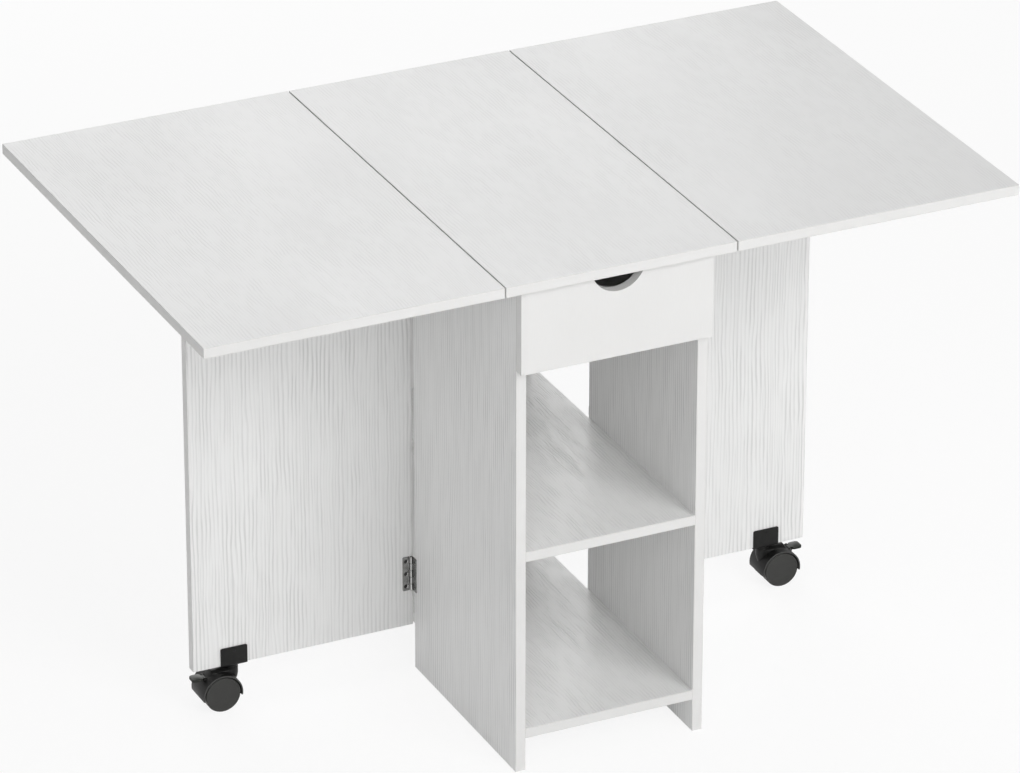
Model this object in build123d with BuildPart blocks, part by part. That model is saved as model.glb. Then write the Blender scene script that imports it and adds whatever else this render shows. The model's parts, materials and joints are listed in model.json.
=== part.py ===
from build123d import *
import os

os.makedirs("parts", exist_ok=True)

# A drop leaf cart with two swinging gates, opened out. Millimetres. The origin is on the floor
# under the middle of the top; the drawer faces -Y, the gates swing back towards +Y.

# Boards
board = 15.0
edge_ease = 0.6
table_height = 750.0
top_depth = 715.0
centre_width = 340.0
leaf_width = 428.0
leaf_seam = 2.0

# Carcass
carcass_width = 285.0
front_overhang = 12.0
side_panel_depth = 331.0
shelf_depth = 520.0
bottom_shelf_clear = 49.5
middle_shelf_clear = 321.0
gate_side_ease = 1.0

# Drawer
drawer_front_height = 122.0
drawer_top_gap = 3.0
drawer_front_clear = 0.5
finger_cut_depth = 25.3
finger_cut_radius = 40.0
box_board = 12.0
box_side_gap = 1.5
box_depth = 310.0
box_height = 88.0
box_lift = 12.0
bottom_board = 3.0
bottom_groove_depth = 5.0
bottom_groove_lift = 8.0
sliding_gap = 0.5
rail_height = 16.0
rail_bite = 6.5
rail_end_gap = 10.0
rail_set_back = 11.0
rail_screw_inset = 50.0
rail_screw_length = 17.6
box_fitting_inset = 23.0
back_screw_length = 22.0

# Gates
gate_length = 335.0
gate_floor_clear = 65.0
gate_end_gap = 1.5
gate_end_reach = 0.8
gate_face_gap = 0.1
glide_radius = 6.0
glide_height = 7.4
glide_stem_radius = 3.0
glide_stem_length = 12.0
glide_clear = 0.3
inner_glide_reach = 160.0
outer_glide_inset = 16.0
buffer_width = 18.0
buffer_length = 27.0
buffer_thickness = 1.2
buffer_overhang = 3.0
buffer_height = 346.0

# Butt hinges
hinge_length = 53.0
hinge_half_width = 13.0
hinge_plate = 1.2
knuckle_radius = 2.2
knuckle_count = 5
knuckle_gap = 0.3
pin_radius = 1.1
pin_overrun = 0.4
curve_clear = 0.3
running_clear = 0.06
gate_hinge_inset = 82.3
leaf_hinge_inset = 87.5
leaf_hinge_count = 3

# Screws, cams and dowels
screw_radius = 1.4
screw_head_radius = 2.6
screw_length = 11.0
screw_head_height = 1.1
screw_end_inset = 7.0
screw_reach = 7.7
fit = 0.1
cam_radius = 7.5
cam_depth = 12.4
cam_inset = 24.0
cam_bolt_radius = 2.5
cam_bolt_head_radius = 3.1
cam_bolt_head_length = 2.5
cam_bolt_bite = 10.0
dowel_radius = 4.0
dowel_bite = 10.0
dowel_tail = 18.0
fitting_inset = 45.0
rear_fitting_x = 75.0
small_cam_radius = 6.0
small_cam_depth = 9.5

# Casters
wheel_radius = 26.0
wheel_width = 16.0
wheel_edge_round = 1.0
wheel_rim_width = 3.4
wheel_rim_step = 0.7
wheel_hub_radius = 8.0
wheel_hollow_depth = 3.0
web_width = 11.0
web_boss_radius = 9.0
wheel_side_gap = 0.6
axle_radius = 3.0
axle_bite = 11.0
trail = 21.5
hood_wall = 2.2
hood_gap = 1.6
hood_skirt = 5.0
hood_rim = 0.6
neck_radius = 9.5
neck_gap = 0.4
saddle_height = 58.4
saddle_arch = 3.0
saddle_reach = 11.0
saddle_foot_reach = 18.0
saddle_foot_height = 49.0
stem_radius = 4.0
stem_set_back = 10.0
stem_depth = 26.0
bracket_width = 40.0
bracket_height = 29.7
bracket_plate = 2.2
bracket_flange = 22.0
bracket_inset = 61.0
bracket_screw_drop = 5.5
flange_screw_spread = 14.0
flange_screw_set_back = 9.5

# Brake pedals
pivot_reach = 21.0
pivot_height = 48.0
pivot_pin_radius = 1.5
pedal_root_radius = 2.7
pedal_root_width = 9.2
pedal_width = 18.5
pedal_reach = 40.0
pedal_thickness = 3.0
pedal_neck = 4.0
pedal_tip_round = 5.5
lug_radius = 3.4
lug_width = 2.6

# Places worked out from the sizes
half_depth = top_depth / 2
top_underside = table_height - board
carcass_half = carcass_width / 2
inner_half = carcass_half - board
seam_x = centre_width / 2 + leaf_seam / 2
leaf_centre_x = centre_width / 2 + leaf_seam + leaf_width / 2
drawer_face_y = -half_depth + front_overhang
drawer_back_face_y = drawer_face_y + board
panel_front_y = drawer_back_face_y + drawer_front_clear
panel_rear_y = panel_front_y + side_panel_depth
shelf_rear_y = panel_front_y + shelf_depth
eased_half = inner_half - gate_side_ease
drawer_top = top_underside - drawer_top_gap
drawer_bottom = drawer_top - drawer_front_height
axis_offset = knuckle_radius + curve_clear
screw_pitch = hinge_length / 2 - screw_end_inset
gate_pin_x = carcass_half + axis_offset
gate_pin_y = panel_rear_y + gate_end_gap + axis_offset + gate_end_reach
gate_face_y = gate_pin_y + axis_offset + gate_face_gap
gate_inner_x = gate_pin_x + panel_rear_y + gate_end_gap - gate_pin_y
gate_outer_x = gate_inner_x + gate_length
gate_middle_y = gate_face_y + board / 2
gate_top = top_underside - glide_clear - glide_height
gate_hinge_heights = (gate_floor_clear + gate_hinge_inset, gate_top - gate_hinge_inset)
leaf_pin_z = top_underside - axis_offset
leaf_hinge_pitch = (top_depth - 2 * leaf_hinge_inset) / (leaf_hinge_count - 1)
leaf_hinge_ys = [(n - (leaf_hinge_count - 1) / 2) * leaf_hinge_pitch for n in range(leaf_hinge_count)]
caster_x = gate_outer_x - bracket_inset
caster_y = gate_face_y + stem_set_back
flange_bottom = gate_floor_clear - bracket_plate
box_half = inner_half - box_side_gap
box_bottom = drawer_bottom + box_lift
box_rear_y = drawer_back_face_y + box_depth
groove_z = box_bottom + bottom_groove_lift
rail_z = box_bottom + box_height / 2
rail_length = box_depth - rail_end_gap
rail_middle_y = panel_front_y + rail_set_back + rail_length / 2
rail_screw_pitch = rail_length / 2 - rail_screw_inset
box_fitting_heights = (box_bottom + box_fitting_inset, box_bottom + box_height - box_fitting_inset)
hood_radius = wheel_radius + hood_gap + hood_wall
half_hood = web_width / 2 + wheel_side_gap + wheel_width + hood_rim
cam_slot_radius = cam_bolt_head_radius + fit
cam_slot_length = cam_inset + cam_bolt_head_length
cam_bolt_neck = cam_inset - cam_bolt_head_length

up = (0, 0, 1)
down = (0, 0, -1)
seated = (Align.CENTER, Align.CENTER, Align.MIN)
sides = (("left", -1), ("right", 1))
shelves = (("bottom_shelf", bottom_shelf_clear), ("middle_shelf", middle_shelf_clear))
fitting_ys = (panel_front_y + fitting_inset, panel_rear_y - fitting_inset)
dowel_y = (panel_front_y + panel_rear_y) / 2


def write(piece, label):
    """Label one finished piece and write it to its STEP file."""
    piece.label = label
    export_step(piece, f"parts/{label}.step")


def ray(point, way):
    """A plane at a point, facing a way, that a bore, pin or screw stands on."""
    return Plane(origin=point, z_dir=way)


# Cam fittings: each ray starts on the joint face and points into the board that holds the cam


def shelf_joints(clear, side_spots, rear_spots):
    """The joint rays of one shelf, at its sides and at its rear end."""
    height = clear + board / 2
    at_sides = [ray((sign * inner_half, y, height), (-sign, 0, 0)) for _, sign in sides for y in side_spots]
    at_rear = [ray((x, shelf_rear_y, height), (0, -1, 0)) for x in rear_spots]
    return at_sides + at_rear


def top_joints(side_spots, rear_spots):
    """The joint rays under the centre top, down into the side panels and the rear panel."""
    panel_x = carcass_half - board / 2
    at_sides = [ray((sign * panel_x, y, top_underside), down) for _, sign in sides for y in side_spots]
    at_rear = [ray((x, shelf_rear_y + board / 2, top_underside), down) for x in rear_spots]
    return at_sides + at_rear


rear_spots = (-rear_fitting_x, rear_fitting_x)
shelf_cam_joints = {name: shelf_joints(clear, fitting_ys, rear_spots) for name, clear in shelves}
shelf_dowel_joints = {name: shelf_joints(clear, (dowel_y,), (0,)) for name, clear in shelves}
top_cam_joints = top_joints(fitting_ys, rear_spots)
top_dowel_joints = top_joints((dowel_y,), (0,))
shelf_cam_rays = [joint for joints in shelf_cam_joints.values() for joint in joints]
shelf_dowel_rays = [joint for joints in shelf_dowel_joints.values() for joint in joints]


def cam_ray(joint, face_way):
    """The cam's own plane: inside the board, on the face that the cam is pressed in from."""
    centre = joint.origin + joint.z_dir * cam_inset
    face = Vector(face_way)
    return Plane(origin=centre + face * (board / 2), z_dir=-face)


def cam_face(joint):
    """The way that the face of a top joint's board looks where its cam is pressed in."""
    if abs(joint.origin.X) > inner_half:
        return (-1 if joint.origin.X > 0 else 1, 0, 0)
    return (0, 1, 0)


shelf_cams = [cam_ray(joint, down) for joint in shelf_cam_rays]
top_cams = [cam_ray(joint, cam_face(joint)) for joint in top_cam_joints]
rail_screw_rays = [
    ray((sign * (box_half - rail_bite), rail_middle_y + n * rail_screw_pitch, rail_z), (sign, 0, 0))
    for _, sign in sides
    for n in (-1, 0, 1)
]


def back(joint, length):
    """The same ray, started a length behind the joint face."""
    return Plane(origin=joint.origin - joint.z_dir * length, z_dir=joint.z_dir)


# Butt hinges. A leaf frame has its x along the plate, its y towards the board and its z on the pin


def leaf_frame(pin, plate_way, board_way):
    """The frame of one hinge leaf from its pin's middle and its two ways."""
    return Plane(origin=pin, x_dir=plate_way, z_dir=Vector(*plate_way).cross(Vector(*board_way)))


def gate_pins(sign):
    """The middles of one gate's hinge pins."""
    return [(sign * gate_pin_x, gate_pin_y, height) for height in gate_hinge_heights]


def leaf_pins(sign):
    """The middles of one leaf's hinge pins."""
    return [(sign * seam_x, y, leaf_pin_z) for y in leaf_hinge_ys]


gate_fixed_frames = [
    leaf_frame(pin, (0, -1, 0), (-sign, 0, 0)) for _, sign in sides for pin in gate_pins(sign)
]
gate_moving_frames = {
    sign: [leaf_frame(pin, (sign, 0, 0), (0, 1, 0)) for pin in gate_pins(sign)] for _, sign in sides
}
top_fixed_frames = [leaf_frame(pin, (-sign, 0, 0), up) for _, sign in sides for pin in leaf_pins(sign)]
leaf_moving_frames = {
    sign: [leaf_frame(pin, (sign, 0, 0), up) for pin in leaf_pins(sign)] for _, sign in sides
}


def screw_rays(frame):
    """The three screw rays of a hinge leaf, from the plate's outer face into the board."""
    spots = [(screw_reach, axis_offset - hinge_plate, n * screw_pitch) for n in (-1, 0, 1)]
    return [Plane(origin=frame.from_local_coords(spot), z_dir=frame.y_dir) for spot in spots]


def all_screw_rays(frames):
    """The screw rays of several hinge leaves."""
    return [screw for frame in frames for screw in screw_rays(frame)]


def hinge_leaves(frames, fixed):
    """Hinge leaves on their frames: the fixed kind has the odd knuckles, the moving kind the even ones."""
    pitch = (hinge_length + knuckle_gap) / knuckle_count
    middles = [(n - (knuckle_count - 1) / 2) * pitch for n in range(knuckle_count)]
    own = middles[0::2] if fixed else middles[1::2]
    other = middles[1::2] if fixed else middles[0::2]
    with BuildPart() as leaf:
        with BuildSketch(Plane.XZ.offset(-axis_offset)):
            with Locations((hinge_half_width / 2, 0)):
                Rectangle(hinge_half_width, hinge_length)
        extrude(amount=hinge_plate)
        fillet(leaf.edges().filter_by(Axis.Y).group_by(Axis.X)[-1], knuckle_radius)
        with Locations(*[(0, 0, middle) for middle in own]):
            Cylinder(knuckle_radius, pitch - knuckle_gap)
        with Locations(*[(0, 0, middle) for middle in other]):
            Cylinder(axis_offset + curve_clear, pitch + knuckle_gap, mode=Mode.SUBTRACT)
        Cylinder(pin_radius + running_clear, 2 * hinge_length, mode=Mode.SUBTRACT)
        screw_spots = [(screw_reach, axis_offset - hinge_plate, n * screw_pitch) for n in (-1, 0, 1)]
        with Locations(*[ray(spot, (0, -1, 0)) for spot in screw_spots]):
            CounterSinkHole(screw_radius + fit, screw_head_radius + fit)
    with BuildPart() as leaves:
        with Locations(*frames):
            add(leaf.part)
    return leaves


def hinge_pins(middles, way):
    """Hinge pins through the given middles, all pointing one way."""
    with BuildPart() as pins:
        with Locations(*[ray(middle, way) for middle in middles]):
            Cylinder(pin_radius, hinge_length + 2 * pin_overrun)
    return pins


def screws(rays, length):
    """Countersunk screws that start on their rays, each head let in flush with a hair of clearance."""
    with BuildPart() as screw:
        with BuildSketch(Plane.XZ):
            with BuildLine():
                Polyline(
                    (0, 0),
                    (screw_head_radius, 0),
                    (screw_radius, screw_head_height),
                    (screw_radius, length - 2 * screw_radius),
                    (0, length),
                    close=True,
                )
            make_face()
        revolve(axis=Axis.Z)
    with BuildPart() as group:
        with Locations(*rays):
            add(screw.part)
    return group


# The centre top

with BuildPart() as centre_top:
    with BuildSketch(Plane.XY.offset(top_underside)):
        Rectangle(centre_width, top_depth)
    extrude(amount=board)
    fillet(centre_top.edges(), edge_ease)
    with Locations(*[back(joint, cam_bolt_bite + fit) for joint in top_cam_joints]):
        Cylinder(cam_bolt_radius + fit, 2 * cam_bolt_bite, align=seated, mode=Mode.SUBTRACT)
    with Locations(*[back(joint, dowel_bite + fit) for joint in top_dowel_joints]):
        Cylinder(dowel_radius + fit, 2 * dowel_bite, align=seated, mode=Mode.SUBTRACT)
    with Locations(*all_screw_rays(top_fixed_frames)):
        Cylinder(screw_radius + fit, screw_length + fit, align=seated, mode=Mode.SUBTRACT)
write(centre_top.part, "centre_top")

# The side panels: the front half of the carcass, standing on the floor

for side, sign in sides:
    with BuildPart() as side_panel:
        with BuildSketch(Plane.XY):
            with Locations((sign * (carcass_half - board / 2), (panel_front_y + panel_rear_y) / 2)):
                Rectangle(board, side_panel_depth)
        extrude(amount=top_underside)
        fillet(side_panel.edges(), edge_ease)
        with Locations(*[back(joint, cam_bolt_bite + fit) for joint in shelf_cam_rays]):
            Cylinder(cam_bolt_radius + fit, 2 * cam_bolt_bite, align=seated, mode=Mode.SUBTRACT)
        with Locations(*[back(joint, dowel_bite + fit) for joint in shelf_dowel_rays]):
            Cylinder(dowel_radius + fit, 2 * dowel_bite, align=seated, mode=Mode.SUBTRACT)
        with Locations(*[joint for joint in top_cam_joints if joint.origin.X * sign > inner_half]):
            Cylinder(cam_slot_radius, cam_inset, align=seated, mode=Mode.SUBTRACT)
        with Locations(*top_cams):
            Cylinder(cam_radius + fit, cam_depth + fit, align=seated, mode=Mode.SUBTRACT)
        with Locations(*top_dowel_joints):
            Cylinder(dowel_radius + fit, dowel_tail + fit, align=seated, mode=Mode.SUBTRACT)
        with Locations(*all_screw_rays(gate_fixed_frames)):
            Cylinder(screw_radius + fit, screw_length + fit, align=seated, mode=Mode.SUBTRACT)
        with Locations(*rail_screw_rays):
            Cylinder(screw_radius + fit, rail_screw_length + fit, align=seated, mode=Mode.SUBTRACT)
    write(side_panel.part, f"{side}_side_panel")

# The shelves: full width between the side panels, eased behind them so that the gates can close

for name, clear in shelves:
    with BuildPart() as shelf:
        with BuildSketch(Plane.XY.offset(clear)):
            with BuildLine():
                Polyline(
                    (-inner_half, panel_front_y),
                    (inner_half, panel_front_y),
                    (inner_half, panel_rear_y),
                    (eased_half, panel_rear_y),
                    (eased_half, shelf_rear_y),
                    (-eased_half, shelf_rear_y),
                    (-eased_half, panel_rear_y),
                    (-inner_half, panel_rear_y),
                    close=True,
                )
            make_face()
        extrude(amount=board)
        fillet(shelf.edges().group_by(Axis.Y)[0], edge_ease)
        with Locations(*shelf_cam_joints[name]):
            Cylinder(cam_slot_radius, cam_inset, align=seated, mode=Mode.SUBTRACT)
        with Locations(*[cam_ray(joint, down) for joint in shelf_cam_joints[name]]):
            Cylinder(cam_radius + fit, cam_depth + fit, align=seated, mode=Mode.SUBTRACT)
        with Locations(*shelf_dowel_joints[name]):
            Cylinder(dowel_radius + fit, dowel_tail + fit, align=seated, mode=Mode.SUBTRACT)
    write(shelf.part, name)

# The rear panel: carries the shelves' rear ends and the top, and stands on the floor

with BuildPart() as rear_panel:
    with BuildSketch(Plane.XY):
        with Locations((0, shelf_rear_y + board / 2)):
            Rectangle(2 * eased_half, board)
    extrude(amount=top_underside)
    fillet(rear_panel.edges(), edge_ease)
    with Locations(*[back(joint, cam_bolt_bite + fit) for joint in shelf_cam_rays]):
        Cylinder(cam_bolt_radius + fit, 2 * cam_bolt_bite, align=seated, mode=Mode.SUBTRACT)
    with Locations(*[back(joint, dowel_bite + fit) for joint in shelf_dowel_rays]):
        Cylinder(dowel_radius + fit, 2 * dowel_bite, align=seated, mode=Mode.SUBTRACT)
    with Locations(*[joint for joint in top_cam_joints if abs(joint.origin.X) < inner_half]):
        Cylinder(cam_slot_radius, cam_inset, align=seated, mode=Mode.SUBTRACT)
    with Locations(*top_cams):
        Cylinder(cam_radius + fit, cam_depth + fit, align=seated, mode=Mode.SUBTRACT)
    with Locations(*top_dowel_joints):
        Cylinder(dowel_radius + fit, dowel_tail + fit, align=seated, mode=Mode.SUBTRACT)
write(rear_panel.part, "rear_panel")

# The carcass fittings

with BuildPart() as carcass_cams:
    with Locations(*shelf_cams, *top_cams):
        Cylinder(cam_radius, cam_depth, align=seated)
    with Locations(*shelf_cam_rays, *top_cam_joints):
        Cylinder(cam_slot_radius, cam_slot_length, align=seated, mode=Mode.SUBTRACT)
write(carcass_cams.part, "carcass_cams")

with BuildPart() as carcass_cam_bolts:
    with Locations(*[back(joint, cam_bolt_bite) for joint in shelf_cam_rays + top_cam_joints]):
        Cylinder(cam_bolt_radius, cam_bolt_bite + cam_inset, align=seated)
    with Locations(*[back(joint, -cam_bolt_neck) for joint in shelf_cam_rays + top_cam_joints]):
        Cylinder(cam_bolt_head_radius, cam_bolt_head_length, align=seated)
write(carcass_cam_bolts.part, "carcass_cam_bolts")

with BuildPart() as carcass_dowels:
    with Locations(*[back(joint, dowel_bite) for joint in shelf_dowel_rays + top_dowel_joints]):
        Cylinder(dowel_radius, dowel_bite + dowel_tail, align=seated)
    chamfer(carcass_dowels.edges().filter_by(GeomType.CIRCLE), edge_ease)
write(carcass_dowels.part, "carcass_dowels")

with BuildPart() as panel_buffers:
    buffer_x = carcass_half + buffer_overhang - buffer_width / 2
    with BuildSketch(Plane.XZ.offset(-panel_rear_y)):
        with Locations(*[(sign * buffer_x, buffer_height) for _, sign in sides]):
            SlotOverall(buffer_length, buffer_width, rotation=90)
    extrude(amount=-buffer_thickness)
    fillet(panel_buffers.faces().filter_by(Axis.Y).sort_by(Axis.Y)[-2:].edges(), edge_ease)
write(panel_buffers.part, "panel_buffers")

# The hinges' fixed leaves, their pins and their screws

write(hinge_leaves(gate_fixed_frames, True).part, "gate_hinge_fixed_leaves")
write(hinge_pins([pin for _, sign in sides for pin in gate_pins(sign)], up).part, "gate_hinge_pins")
write(screws(all_screw_rays(gate_fixed_frames), screw_length).part, "gate_hinge_fixed_screws")
write(hinge_leaves(top_fixed_frames, True).part, "top_hinge_fixed_leaves")
write(hinge_pins([pin for _, sign in sides for pin in leaf_pins(sign)], (0, 1, 0)).part, "top_hinge_pins")
write(screws(all_screw_rays(top_fixed_frames), screw_length).part, "top_hinge_fixed_screws")

# The leaves

for side, sign in sides:
    frames = leaf_moving_frames[sign]
    with BuildPart() as leaf_board:
        with BuildSketch(Plane.XY.offset(top_underside)):
            with Locations((sign * leaf_centre_x, 0)):
                Rectangle(leaf_width, top_depth)
        extrude(amount=board)
        fillet(leaf_board.edges(), edge_ease)
        with Locations(*all_screw_rays(frames)):
            Cylinder(screw_radius + fit, screw_length + fit, align=seated, mode=Mode.SUBTRACT)
    write(leaf_board.part, f"{side}_leaf")
    write(hinge_leaves(frames, False).part, f"{side}_leaf_hinge_leaves")
    write(screws(all_screw_rays(frames), screw_length).part, f"{side}_leaf_screws")

# The gates, with the glides that carry the leaves and the brackets that carry the casters


def bracket_screw_rays(sign):
    """The rays of one bracket's screws: one in its plate, two up through its flange."""
    face_z = flange_bottom + bracket_height - bracket_screw_drop
    flange_y = gate_face_y + flange_screw_set_back
    xs = [sign * caster_x + spread for spread in (-flange_screw_spread, flange_screw_spread)]
    face = ray((sign * caster_x, gate_face_y - bracket_plate, face_z), (0, 1, 0))
    return [face] + [ray((x, flange_y, flange_bottom), up) for x in xs]


for side, sign in sides:
    frames = gate_moving_frames[sign]
    glide_xs = (sign * (gate_pin_x + inner_glide_reach), sign * (gate_outer_x - outer_glide_inset))
    glide_seats = [(x, gate_middle_y, gate_top) for x in glide_xs]

    with BuildPart() as gate:
        with BuildSketch(Plane.XY.offset(gate_floor_clear)):
            with Locations((sign * (gate_inner_x + gate_outer_x) / 2, gate_middle_y)):
                Rectangle(gate_length, board)
        extrude(amount=gate_top - gate_floor_clear)
        fillet(gate.edges(), edge_ease)
        with Locations(*all_screw_rays(frames), *bracket_screw_rays(sign)):
            Cylinder(screw_radius + fit, screw_length + fit, align=seated, mode=Mode.SUBTRACT)
        with Locations(*[ray(seat, down) for seat in glide_seats]):
            Cylinder(glide_stem_radius + fit, glide_stem_length + fit, align=seated, mode=Mode.SUBTRACT)
    write(gate.part, f"{side}_gate")
    write(hinge_leaves(frames, False).part, f"{side}_gate_hinge_leaves")
    write(screws(all_screw_rays(frames), screw_length).part, f"{side}_gate_hinge_screws")

    with BuildPart() as glides:
        with Locations(*glide_seats):
            Cylinder(glide_radius, glide_height, align=seated)
        fillet(glides.edges().filter_by(GeomType.CIRCLE).group_by(Axis.Z)[-1], 2 * edge_ease)
        with Locations(*[ray(seat, down) for seat in glide_seats]):
            Cylinder(glide_stem_radius, glide_stem_length, align=seated)
    write(glides.part, f"{side}_gate_glides")

    with BuildPart() as bracket:
        with BuildSketch(Plane.YZ.offset(sign * caster_x)):
            with BuildLine():
                Polyline(
                    (gate_face_y - bracket_plate, flange_bottom),
                    (gate_face_y + bracket_flange, flange_bottom),
                    (gate_face_y + bracket_flange, gate_floor_clear),
                    (gate_face_y, gate_floor_clear),
                    (gate_face_y, flange_bottom + bracket_height),
                    (gate_face_y - bracket_plate, flange_bottom + bracket_height),
                    close=True,
                )
            make_face()
        extrude(amount=bracket_width / 2, both=True)
        fillet(bracket.edges().filter_by(Axis.X).group_by(Axis.Z)[0].sort_by(Axis.Y)[0], 2 * edge_ease)
        with Locations((sign * caster_x, caster_y, flange_bottom)):
            Cylinder(stem_radius + fit, 2 * bracket_plate, mode=Mode.SUBTRACT)
        for screw in bracket_screw_rays(sign):
            with Locations(Plane(origin=screw.origin, z_dir=-screw.z_dir)):
                CounterSinkHole(screw_radius + fit, screw_head_radius + fit, 2 * bracket_plate)
    write(bracket.part, f"{side}_caster_bracket")
    write(screws(bracket_screw_rays(sign), screw_length).part, f"{side}_bracket_screws")

# The casters. Each is shaped about its swivel axis, trailing along +X, and then set in place

wheel_axis = Axis((trail, 0, wheel_radius), (0, 1, 0))
wheel_inner_y = web_width / 2 + wheel_side_gap
wheel_outer_y = wheel_inner_y + wheel_width
pivot = (trail + pivot_reach, 0, pivot_height)
hood_inner_radius = hood_radius - hood_wall

with BuildPart() as caster_stem:
    with Locations((0, 0, gate_floor_clear - fit)):
        Cylinder(stem_radius, stem_depth, align=(Align.CENTER, Align.CENTER, Align.MAX))
    chamfer(caster_stem.edges().group_by(Axis.Z)[0], edge_ease)

with BuildPart() as saddle:
    with BuildSketch(Plane.XZ):
        with BuildLine():
            Polyline(
                (0, wheel_radius),
                (0, saddle_height),
                (trail + saddle_reach, saddle_height),
                (trail + saddle_foot_reach, saddle_foot_height),
                (trail + saddle_foot_reach, wheel_radius),
                close=True,
            )
        make_face()
    extrude(amount=neck_radius, both=True)
    with BuildSketch(Plane.YZ):
        with BuildLine():
            eaves = saddle_height - saddle_arch
            ThreePointArc((-neck_radius, eaves), (0, saddle_height), (neck_radius, eaves))
            Polyline((neck_radius, eaves), (neck_radius, 0), (-neck_radius, 0), (-neck_radius, eaves))
        make_face()
    extrude(amount=2 * trail + saddle_foot_reach, mode=Mode.INTERSECT)

with BuildPart() as caster_housing:
    with BuildSketch(Plane.XZ):
        with Locations((trail, wheel_radius)):
            Circle(hood_radius)
        with Locations((trail, wheel_radius - hood_skirt)):
            Rectangle(4 * hood_radius, 4 * hood_radius, align=(Align.CENTER, Align.MAX), mode=Mode.SUBTRACT)
    extrude(amount=half_hood, both=True)
    with BuildSketch(Plane.XY.offset(wheel_radius)):
        Circle(neck_radius)
    extrude(amount=flange_bottom - neck_gap - wheel_radius)
    add(saddle.part)
    with Locations(*[ray((trail, sign * web_width / 2, wheel_radius), (0, sign, 0)) for _, sign in sides]):
        Cylinder(hood_inner_radius, 2 * half_hood, align=seated, mode=Mode.SUBTRACT)
    with Locations(ray((trail, 0, wheel_radius), (0, 1, 0))):
        Cylinder(web_boss_radius, web_width)
    lug_start = pedal_root_width / 2 + curve_clear
    with Locations(*[ray((pivot[0], sign * lug_start, pivot_height), (0, sign, 0)) for _, sign in sides]):
        Cylinder(lug_radius, lug_width, align=seated)
    with Locations(ray(pivot, (0, 1, 0))):
        Cylinder(pedal_root_radius + curve_clear, pedal_root_width + 2 * curve_clear, mode=Mode.SUBTRACT)
        Cylinder(pivot_pin_radius + fit, 2 * pedal_width, mode=Mode.SUBTRACT)
    with Locations(ray((trail, 0, wheel_radius), (0, 1, 0))):
        Cylinder(axle_radius + fit, 2 * web_width, mode=Mode.SUBTRACT)
    with Locations((0, 0, gate_floor_clear - stem_depth - curve_clear)):
        Cylinder(stem_radius + running_clear, 2 * stem_depth, align=seated, mode=Mode.SUBTRACT)

with BuildPart() as caster_pins:
    with Locations(ray((trail, 0, wheel_radius), (0, 1, 0))):
        Cylinder(axle_radius, 2 * (wheel_inner_y + axle_bite))
    with Locations(ray(pivot, (0, 1, 0))):
        Cylinder(pivot_pin_radius, pedal_root_width + 2 * (curve_clear + lug_width))

with BuildPart() as caster_wheel:
    with BuildSketch(Plane.YZ.offset(trail)):
        with BuildLine():
            rim = wheel_radius - wheel_edge_round
            step = wheel_radius - wheel_rim_width
            hub = axle_radius + running_clear
            Polyline(
                (wheel_outer_y, wheel_radius + rim),
                (wheel_outer_y, wheel_radius + step + wheel_rim_step),
                (wheel_outer_y - wheel_rim_step, wheel_radius + step),
                (wheel_outer_y - wheel_rim_step / 2, wheel_radius),
                (wheel_inner_y + axle_bite + fit, wheel_radius),
                (wheel_inner_y + axle_bite + fit, wheel_radius + hub),
                (wheel_inner_y, wheel_radius + hub),
                (wheel_inner_y, wheel_radius + wheel_hub_radius),
                (wheel_inner_y + wheel_hollow_depth, wheel_radius + wheel_hub_radius),
                (wheel_inner_y + wheel_hollow_depth, wheel_radius + step),
                (wheel_inner_y, wheel_radius + step),
                (wheel_inner_y, wheel_radius + rim),
            )
            tread_inner = (wheel_inner_y + wheel_edge_round, 2 * wheel_radius)
            tread_outer = (wheel_outer_y - wheel_edge_round, 2 * wheel_radius)
            RadiusArc((wheel_inner_y, wheel_radius + rim), tread_inner, wheel_edge_round)
            Line(tread_inner, tread_outer)
            RadiusArc(tread_outer, (wheel_outer_y, wheel_radius + rim), wheel_edge_round)
        make_face()
    revolve(axis=wheel_axis)

with BuildPart() as brake_pedal:
    with BuildSketch(Plane.XZ):
        with Locations((pivot[0], pivot_height)):
            Circle(pedal_root_radius)
        with Locations((pivot[0], pivot_height + pedal_root_radius)):
            Rectangle(2 * pedal_neck, pedal_thickness, align=(Align.MIN, Align.MAX))
    extrude(amount=pedal_root_width / 2, both=True)
    with BuildSketch(Plane.XZ):
        with Locations((pivot[0] + pedal_neck, pivot_height + pedal_root_radius)):
            Rectangle(pedal_reach - pivot_reach - pedal_neck, pedal_thickness, align=(Align.MIN, Align.MAX))
    extrude(amount=pedal_width / 2, both=True)
    fillet(brake_pedal.edges().filter_by(Axis.Z).group_by(Axis.X)[-1], pedal_tip_round)
    fillet(brake_pedal.edges().group_by(Axis.Z)[-1].filter_by(Axis.Y).group_by(Axis.X)[-1], edge_ease)
    with Locations(ray(pivot, (0, 1, 0))):
        Cylinder(pivot_pin_radius + running_clear, 2 * pedal_width, mode=Mode.SUBTRACT)

for side, sign in sides:
    turn = 0 if sign > 0 else 180
    place = Location((sign * caster_x, caster_y, 0), (0, 0, turn))
    write(place * caster_stem.part, f"{side}_caster_stem")
    write(place * caster_housing.part, f"{side}_caster_housing")
    write(place * caster_pins.part, f"{side}_caster_pins")
    write(place * brake_pedal.part, f"{side}_brake_pedal")
    for end, end_sign in (("front", -sign), ("rear", sign)):
        wheel = caster_wheel.part if end_sign > 0 else mirror(caster_wheel.part, about=Plane.XZ)
        write(place * wheel, f"{side}_{end}_wheel")

# The drawer

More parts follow.
